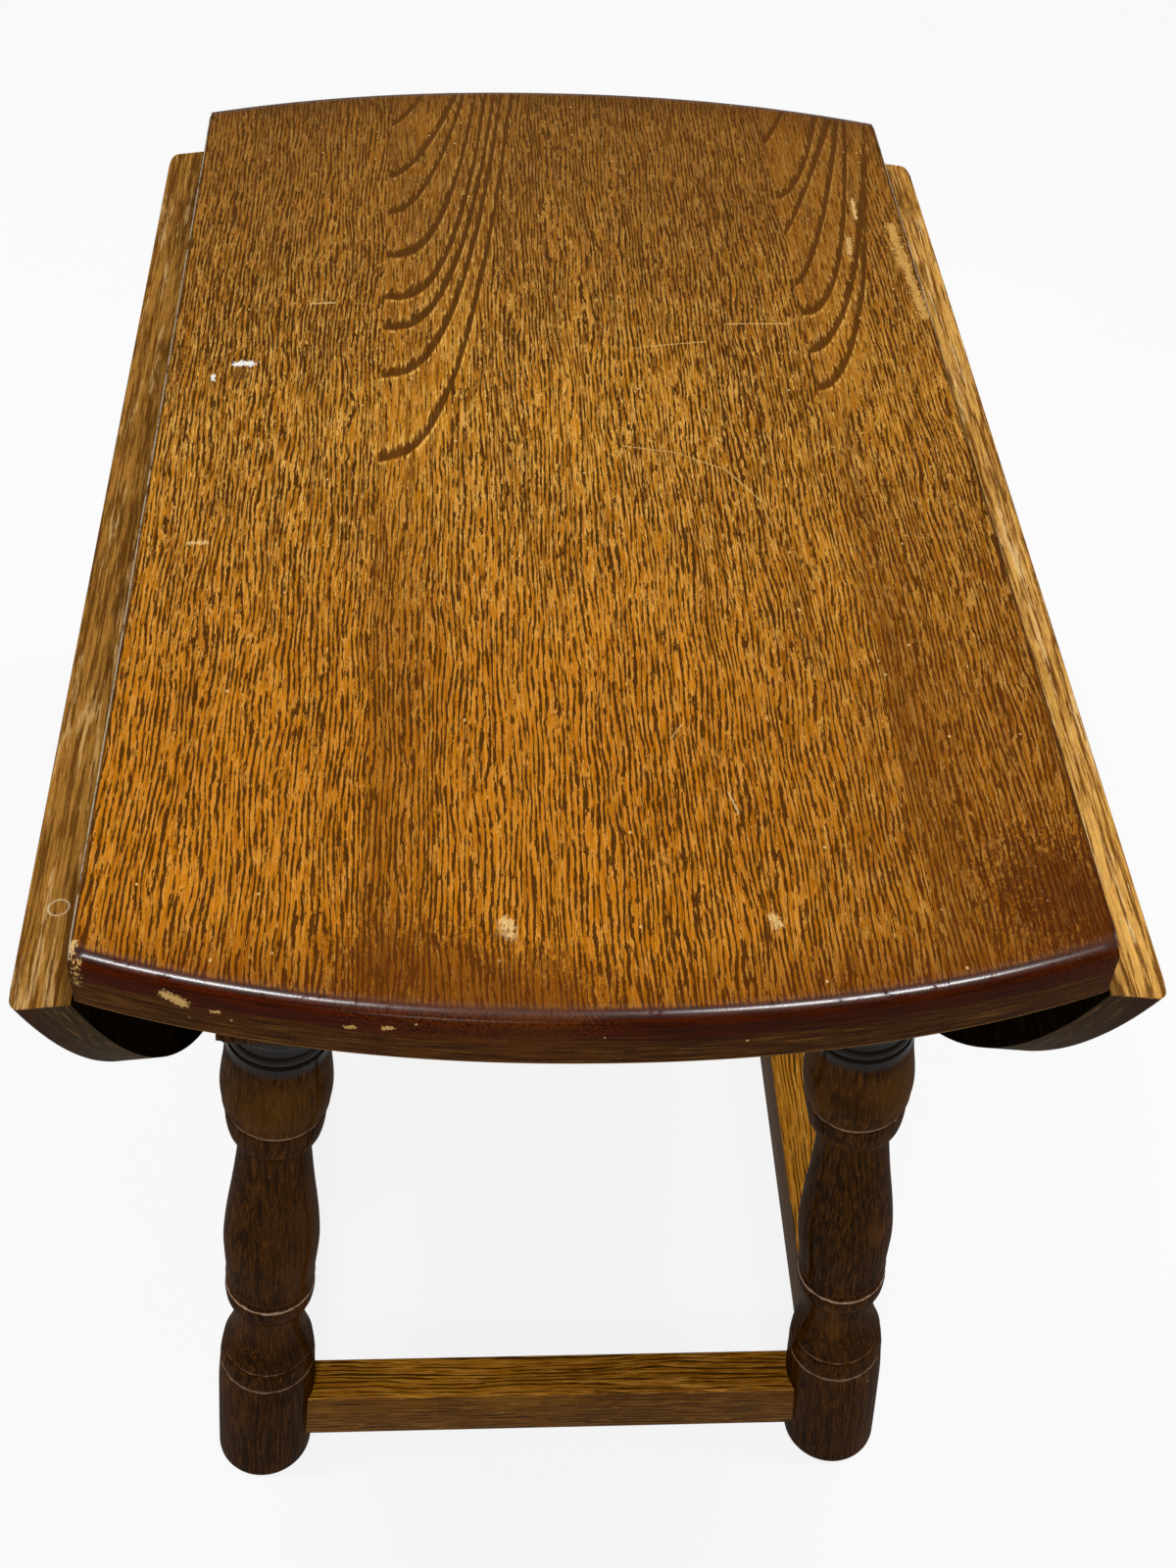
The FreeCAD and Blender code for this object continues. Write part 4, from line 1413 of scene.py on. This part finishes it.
@dataclass
class Screws:
    """The slotted countersunk screws, set out on points by one node tree."""

    sizes: TableSizes
    head_radius: float = 3.4 * MM
    head_height: float = 2.4 * MM
    shank_radius: float = 1.8 * MM
    slot_width: float = 0.9 * MM
    slot_depth: float = 0.8 * MM
    hinge_screw: float = 16 * MM
    guide_screw: float = 49.6 * MM
    button_screw: float = 29 * MM
    flap_holes: tuple[Point, ...] = ((-18 * MM, 9.5 * MM), (0.0, 15.5 * MM), (18 * MM, 9.5 * MM))
    seed: int = 3

    def tree(self) -> bpy.types.NodeTree:
        """Build the tree that sets a screw at each point, its slot turned by chance.

        Returns:
            The node tree.
        """
        tree = bpy.data.node_groups.new("countersunk_screws", "GeometryNodeTree")
        words = ("Head Radius", "Head Height", "Shank Radius", "Shank Length", "Slot Width", "Slot Depth")
        given = {"Geometry": "Geometry", **dict.fromkeys(words, "Float"), "Seed": "Int", "Material": "Material"}
        for word, kind in given.items():
            tree.interface.new_socket(word, in_out="INPUT", socket_type="NodeSocket" + kind)
        tree.interface.new_socket("Geometry", in_out="OUTPUT", socket_type="NodeSocketGeometry")
        kinds = {"given": "NodeGroupInput", "out": "NodeGroupOutput", "head": "GeometryNodeMeshCone",
                 "shank": "GeometryNodeMeshCylinder", "slot": "GeometryNodeMeshCube", "lift": "ShaderNodeMath",
                 "raised": "ShaderNodeCombineXYZ", "move": "GeometryNodeTransform", "width": "ShaderNodeMath",
                 "depth": "ShaderNodeMath", "size": "ShaderNodeCombineXYZ", "carve": "GeometryNodeMeshBoolean",
                 "join": "GeometryNodeJoinGeometry", "chance": "FunctionNodeRandomValue",
                 "spin": "ShaderNodeCombineXYZ", "place": "GeometryNodeInstanceOnPoints",
                 "real": "GeometryNodeRealizeInstances", "coat": "GeometryNodeSetMaterial"}
        nodes = {word: tree.nodes.new(kind) for word, kind in kinds.items()}
        for word, name in (("lift", "MULTIPLY_ADD"), ("width", "MULTIPLY"), ("depth", "MULTIPLY"),
                           ("carve", "DIFFERENCE")):
            nodes[word].operation = name
        nodes["chance"].data_type = "FLOAT"
        for word, socket, value in (("head", "Vertices", 24), ("shank", "Vertices", 12), ("lift", 1, 0.5),
                                    ("width", 1, 2.4), ("depth", 1, 2.0), ("chance", 3, math.pi)):
            nodes[word].inputs[socket].default_value = value
        for start, output, stop, socket in (
                ("given", "Shank Radius", "head", "Radius Top"), ("given", "Head Radius", "head", "Radius Bottom"),
                ("given", "Head Height", "head", "Depth"), ("given", "Shank Radius", "shank", "Radius"),
                ("given", "Shank Length", "shank", "Depth"), ("given", "Shank Length", "lift", 0),
                ("given", "Head Height", "lift", 2), ("lift", 0, "raised", 2), ("shank", "Mesh", "move", "Geometry"),
                ("raised", 0, "move", "Translation"), ("given", "Head Radius", "width", 0),
                ("given", "Slot Depth", "depth", 0), ("width", 0, "size", 0), ("given", "Slot Width", "size", 1),
                ("depth", 0, "size", 2), ("size", 0, "slot", "Size"), ("head", "Mesh", "carve", "Mesh 1"),
                ("slot", "Mesh", "carve", "Mesh 2"), ("carve", "Mesh", "join", 0), ("move", 0, "join", 0),
                ("given", "Seed", "chance", "Seed"), ("chance", 1, "spin", 2), ("given", "Geometry", "place", "Points"),
                ("join", 0, "place", "Instance"), ("spin", 0, "place", "Rotation"), ("place", 0, "real", 0),
                ("real", 0, "coat", "Geometry"), ("given", "Material", "coat", "Material"), ("coat", 0, "out", 0)):
            tree.links.new(nodes[start].outputs[output], nodes[stop].inputs[socket])
        return tree

    def one(self, name: str, tree: bpy.types.NodeTree, places: list[Vector], length: float,
            material: bpy.types.Material) -> bpy.types.Object:
        """Make one object of screws.

        Args:
            name: The object's name.
            tree: The node tree.
            places: The middles of their heads.
            length: How long each is.
            material: Their finish.

        Returns:
            The screws as one plain mesh.
        """
        mesh = bpy.data.meshes.new(name + "_points")
        mesh.from_pydata([tuple(p) for p in places], [], [])
        points = placed(name + "_points", mesh)
        change = points.modifiers.new("screws", "NODES")
        change.node_group = tree
        values = {"Head Radius": self.head_radius, "Head Height": self.head_height,
                  "Shank Radius": self.shank_radius, "Shank Length": length - self.head_height,
                  "Slot Width": self.slot_width, "Slot Depth": self.slot_depth, "Seed": self.seed,
                  "Material": material}
        for socket in tree.interface.items_tree:
            if socket.in_out == "INPUT" and socket.name in values:
                change[socket.identifier] = values[socket.name]
        loose = bmesh.new()
        loose.from_mesh(applied(points))
        bpy.data.objects.remove(points)
        mesh = bpy.data.meshes.new(name)
        loose.to_mesh(mesh)
        loose.free()
        mesh.materials.append(material)
        return placed(name, mesh)

    def hinge_places(self, side: Side, reach: int) -> list[Vector]:
        """Return the screw heads of one side's two flaps on the board or on the raised leaf.

        Args:
            side: The table's side.
            reach: -1 for the board's flaps and 1 for the leaf's.

        Returns:
            Six places.
        """
        x, z = self.sizes.pin
        return [Vector((side.value * (x + reach * away), end.value * self.sizes.hinge_spacing / 2 + along,
                        z + self.sizes.pin_drop)) for end in End for along, away in self.flap_holes]

    def from_node(self, node: str) -> list[Vector]:
        """Return the head places of a CAD node's screws, one for each loose solid in it.

        Args:
            node: The CAD node's name.

        Returns:
            The places, each at the middle of a screw's lowest ring.
        """
        made = bmesh.new()
        made.from_mesh(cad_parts[node].data)
        bmesh.ops.remove_doubles(made, verts=made.verts, dist=TINY)
        left = set(made.verts)
        places = []
        while left:
            start = left.pop()
            group, open_verts = [start], [start]
            while open_verts:
                for edge in open_verts.pop().link_edges:
                    for vertex in edge.verts:
                        if vertex in left:
                            left.remove(vertex)
                            group.append(vertex)
                            open_verts.append(vertex)
            points = np.array([tuple(v.co) for v in group])
            middle = (points.min(0) + points.max(0)) / 2
            places.append(Vector((middle[0], middle[1], points[:, 2].min())))
        made.free()
        return sorted(places, key=lambda p: (round(p.x, 5), round(p.y, 5)))

    def build(self, material: bpy.types.Material) -> list[Piece]:
        """Make every screw.

        Args:
            material: Their finish.

        Returns:
            One piece for each kind on the frame and one for each leaf.
        """
        tree = self.tree()
        board = [place for side in Side for place in self.hinge_places(side, -1)]
        kinds = [("board_screws", "board_hinge_screws", board, self.hinge_screw),
                 ("guide_screws", "loper_guide_screws", self.from_node("loper_guide_screws"), self.guide_screw),
                 ("button_screws", "top_button_screws", self.from_node("top_button_screws"), self.button_screw)]
        made = [Piece(self.one(name, tree, places, length, material), FRAME, "screw_steel", (node,))
                for name, node, places, length in kinds]
        for side in Side:
            item = self.one(f"{side.word}_leaf_screws", tree, self.hinge_places(side, 1), self.hinge_screw, material)
            item.data.transform(self.sizes.hang(side))
            made.append(Piece(item, f"{side.word}_leaf", "screw_steel", (f"{side.word}_leaf_hinge_screws",)))
        return made


STEEL = MetalFinish("worn_steel", paint(150, 142, 128), paint(92, 66, 40), 0.35, 0.4)


@dataclass
class HiddenJoinery:
    """The frame's own pieces that keep their shape and take a finish: rails, lopers, hinges and buttons."""

    rail: OakFinish = OakFinish("rail_oak_polish", GrainFrom.ACROSS, paint(116, 76, 38), paint(96, 58, 26),
                                paint(70, 38, 16), paint(34, 18, 8), roughness=0.5)
    side_rail: OakFinish = OakFinish("side_rail_oak_polish", GrainFrom.ALONG, paint(96, 58, 26), paint(70, 38, 16),
                                     paint(34, 18, 8), roughness=0.5)
    across: OakFinish = OakFinish("plain_oak_across", GrainFrom.ACROSS, paint(196, 150, 96), paint(170, 122, 70),
                                  paint(138, 92, 46), paint(84, 52, 24), coat=0.0)
    along: OakFinish = OakFinish("plain_oak_along", GrainFrom.ALONG, paint(190, 144, 92), paint(164, 116, 66),
                                 paint(132, 88, 44), paint(80, 50, 24), coat=0.0)
    iron: MetalFinish = MetalFinish("dark_iron", paint(92, 84, 74), paint(70, 44, 26))
    steel: MetalFinish = STEEL

    def build(self) -> None:
        """Give every kept node its finish."""
        hinges = [f"{end.word}_{side.word}_hinge" for side in Side for end in End]
        chosen = {"rail": ["front_rail", "back_rail"], "side_rail": ["left_rail", "right_rail"],
                  "across": [f"{side.word}_loper{part}" for side in Side for part in ("", "_guide")],
                  "along": ["top_buttons", *(f"{side.word}_loper_peg" for side in Side)],
                  "iron": [f"{hinge}_{flap}_flap" for hinge in hinges for flap in ("board", "leaf")],
                  "steel": [f"{hinge}_pin" for hinge in hinges]}
        for finish, nodes in chosen.items():
            material = getattr(self, finish).dress()
            for node in nodes:
                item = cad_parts[node]
                if not item.material_slots:
                    item.data.materials.append(material)
                for slot in item.material_slots:
                    slot.material = material
                log.info("%s takes %s", node, material.name)


@dataclass
class Studio:
    """The pale floor, the soft lamps and the camera."""

    focal_px: float = 2112.56
    centre_px: Point = (601.46, 800.2)
    place: Spot = (-0.05528, -0.8388, 1.16204)
    yaw: float = 0.0912
    pitch: float = 0.7821
    roll: float = 0.0614
    width_px: int = 1200
    height_px: int = 1600
    sensor: float = 36.0
    floor_reach: float = 14.0
    floor_glow: float = 0.86

    def camera(self) -> None:
        """Set the camera at the photograph's place, turned as its fit says."""
        data = bpy.data.cameras.new("viewpoint")
        data.sensor_width = self.sensor
        data.lens = self.focal_px / self.height_px * data.sensor_width
        data.shift_x = (self.width_px / 2 - self.centre_px[0]) / self.height_px
        data.shift_y = (self.centre_px[1] - self.height_px / 2) / self.height_px
        data.clip_start, data.clip_end = 0.01, 60.0
        cy, sy, cp, sp = math.cos(self.yaw), math.sin(self.yaw), math.cos(self.pitch), math.sin(self.pitch)
        ahead = Vector((sy * cp, cy * cp, -sp))
        right = Vector((cy, -sy, 0.0))
        up = right.cross(ahead)
        across = right * math.cos(self.roll) + up * math.sin(self.roll)
        above = up * math.cos(self.roll) - right * math.sin(self.roll)
        item = placed("viewpoint", data)
        item.matrix_world = Matrix.Translation(self.place) @ Matrix((across, above, -ahead)).transposed().to_4x4()
        bpy.context.scene.camera = item
        log.info("camera lens %.2f mm", data.lens)

    def floor(self) -> None:
        """Lay a wide pale floor that looks white and keeps the table's shadow."""
        mesh = bpy.data.meshes.new("pale_floor")
        far = self.floor_reach
        mesh.from_pydata([(-far, -far, 0), (far, -far, 0), (far, far, 0), (-far, far, 0)], [], [(0, 1, 2, 3)])
        graph = Graph("pale_floor_paint")
        mottle = graph.place(GrainFrom.ALONG).noise((3, 3, 3), 3)
        plain = graph.term("BsdfPrincipled", {
            "Base Color": mottle.step(0.3, 0.7).blend(paint(240, 240, 239), paint(248, 248, 247)),
            "Roughness": 0.9, "Specular IOR Level": 0.1})
        rays = graph.node("LightPath")
        direct, mirrored, passed = (Term(graph, rays.outputs[f"Is {kind} Ray"])
                                    for kind in ("Camera", "Glossy", "Transmission"))
        white = graph.term("Emission", {"Color": (1.0, 1.0, 1.0, 1.0), "Strength": 1.0})
        seen = direct.at_least(mirrored).at_least(passed)
        mesh.materials.append(graph.close(graph.term("MixShader", {0: seen * self.floor_glow, 1: plain, 2: white})))
        placed("pale_floor", mesh)

    def lamp(self, name: str, place: Spot, aim: Spot | None, size: Point, power: float) -> None:
        """Hang one soft lamp.

        Args:
            name: Its name.
            place: Where it hangs.
            aim: What it points at, or None for straight down.
            size: Its width and height.
            power: Its power in watts.
        """
        data = bpy.data.lights.new(name, "AREA")
        data.shape = "RECTANGLE"
        data.size, data.size_y = size
        data.energy = power
        item = placed(name, data)
        item.location = place
        if aim is not None:
            item.rotation_euler = (Vector(aim) - Vector(place)).to_track_quat("-Z", "Y").to_euler()

    def build(self) -> None:
        """Set up the world, the lamps, the floor and the camera."""
        world = bpy.data.worlds.new("pale_room")
        world.use_nodes = True
        sky = world.node_tree.nodes["Background"]
        sky.inputs[0].default_value, sky.inputs[1].default_value = (1.0, 0.99, 0.975, 1.0), 0.30
        bpy.context.scene.world = world
        bpy.context.scene.view_settings.view_transform = "Standard"
        self.lamp("overhead_left", (-0.97, -0.3, 3.3), None, (0.9, 0.14), 36)
        self.lamp("overhead_right", (0.95, -0.3, 3.3), None, (0.9, 0.14), 36)
        self.lamp("front_window", (-0.4, -2.4, 2.3), (0, 0, 0.3), (0.5, 0.35), 22)
        self.floor()
        self.camera()


TOP_MARKS = (
    ((-165, 61), (-158, 61), 2.6, FILLER, 1.0), ((-176, 50), (-176, 47), 1.2, FILLER, 1.0),
    ((-36, -316), (-35, -322), 3.4, PALE_WOOD, 0.9), ((67, -314), (68, -318), 2.4, PALE_WOOD, 0.8),
    ((-176, -85), (-169, -84), 1.6, PALE_WOOD, 0.7), ((174, 236), (173, 214), 1.1, PALE_WOOD, 0.85),
    ((166, 192), (164, 176), 1.6, PALE_WOOD, 0.6), ((192, 206), (193, 165), 3.6, RUBBED_WOOD, 0.85),
    ((194, 165), (196, 112), 3.0, RUBBED_WOOD, 0.8), ((-80, -335), (-25, -352), 26.0, paint(92, 46, 10), 0.6),
    ((182, -300), (196, -310), 34.0, paint(74, 32, 8), 0.75), ((-164, 50), (-162, 54), 4.5, paint(96, 60, 22), 0.8),
    ((27, -7), (52, -12), 0.5, BARE_WOOD, 0.7), ((52, -12), (76, -26), 0.5, BARE_WOOD, 0.6),
    ((76, -26), (90, -50), 0.5, BARE_WOOD, 0.6), ((90, -50), (94, -72), 0.5, BARE_WOOD, 0.5),
    ((88, 103), (122, 104), 0.6, BARE_WOOD, 0.75), ((37, 79), (58, 83), 0.5, BARE_WOOD, 0.6),
    ((58, 83), (76, 86), 0.5, BARE_WOOD, 0.7), ((-130, 118), (-118, 119), 0.8, PALE_WOOD, 0.7),
    ((35, -214), (40, -206), 0.6, BARE_WOOD, 0.6), ((56, -246), (59, -258), 0.7, PALE_WOOD, 0.6),
    ((-198, -325), (-199, -330), 1.6, PALE_WOOD, 0.8),
)
RIM_CHIPS = (
    Stroke((-163, -344, 558.5), (-157, -346, 556), 2.9, BARE_WOOD, 0.95, 0.4),
    Stroke((-146, -348, 553.7), (-143, -349, 554.2), 1.0, BARE_WOOD, 0.8),
    Stroke((-96, -358, 556), (-93, -358.5, 556.4), 1.0, BARE_WOOD, 0.8),
    Stroke((-82, -360, 557.6), (-79, -360, 558), 1.2, BARE_WOOD, 0.85),
    Stroke((-196, -331, 562), (-197, -331, 553), 2.4, BARE_WOOD, 0.8),
)


def main() -> None:
    """Build the table, dress it and light it."""
    logging.basicConfig(level=logging.INFO, format="%(name)s: %(message)s")
    sizes = TableSizes()
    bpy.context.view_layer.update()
    level = sizes.height / MM
    marks = tuple(Stroke((*start, level), (*stop, level), *rest) for start, stop, *rest in TOP_MARKS)
    board = TopOakFinish("top_oak_polish", strokes=marks + RIM_CHIPS)
    left = LeafOakFinish("left_leaf_oak_polish", edge_gold=paint(150, 104, 42), edge_brown=paint(116, 76, 28),
                         edge_light=paint(176, 124, 52), wear=0.4, ring_mark=(-281.0, 552.0, 4.2))
    right = LeafOakFinish("right_leaf_oak_polish")
    board_under = OakFinish("board_underside_oak", light=paint(84, 58, 32), gold=paint(66, 42, 22),
                            amber=paint(52, 32, 16), pore=paint(30, 18, 8), coat=0.0)
    # Painted shade: the leaves' undersides are near black, as the hanging leaves' inner faces lie in shade.
    leaf_under_painted_shade = OakFinish("leaf_underside_painted_shade", light=paint(40, 26, 12), gold=paint(26, 16, 7),
                           amber=paint(18, 11, 5), pore=paint(9, 6, 3), coat=0.0)
    leg = DarkPolishFinish("leg_dark_polish", light=paint(100, 60, 14), gold=paint(58, 31, 4), amber=paint(38, 19, 2),
                           pore=paint(14, 7, 0), fibres=420.0, stroke=11.0, ridge=4.1 * MM, openness=0.60,
                           roughness=0.6, coat=0.05, coat_roughness=0.14, pore_cover=0.55, painted_glint_share=0.4,
                           pore_depth=0.06 * MM)
    low = LowRailFinish("stretcher_oak_polish", light=paint(246, 178, 76), gold=paint(196, 126, 26),
                        amber=paint(158, 96, 17), pore=paint(48, 26, 5), fibres=620.0, stroke=7.0, coat=0.08,
                        coat_roughness=0.14, openness=0.60, pore_cover=0.85)
    pieces = Top(sizes).build(board.dress(), {Side.LEFT: left.dress(), Side.RIGHT: right.dress()},
                              {"board": board_under.dress(), "leaf": leaf_under_painted_shade.dress()})
    pieces += TurnedLegs(sizes).build(leg.dress())
    pieces += Stretchers(sizes).build(low.dress())
    pieces += Screws(sizes).build(STEEL.dress())
    HiddenJoinery().build()
    for piece in pieces:
        piece.settle()
    Studio().build()


if __name__ == "__main__":
    main()
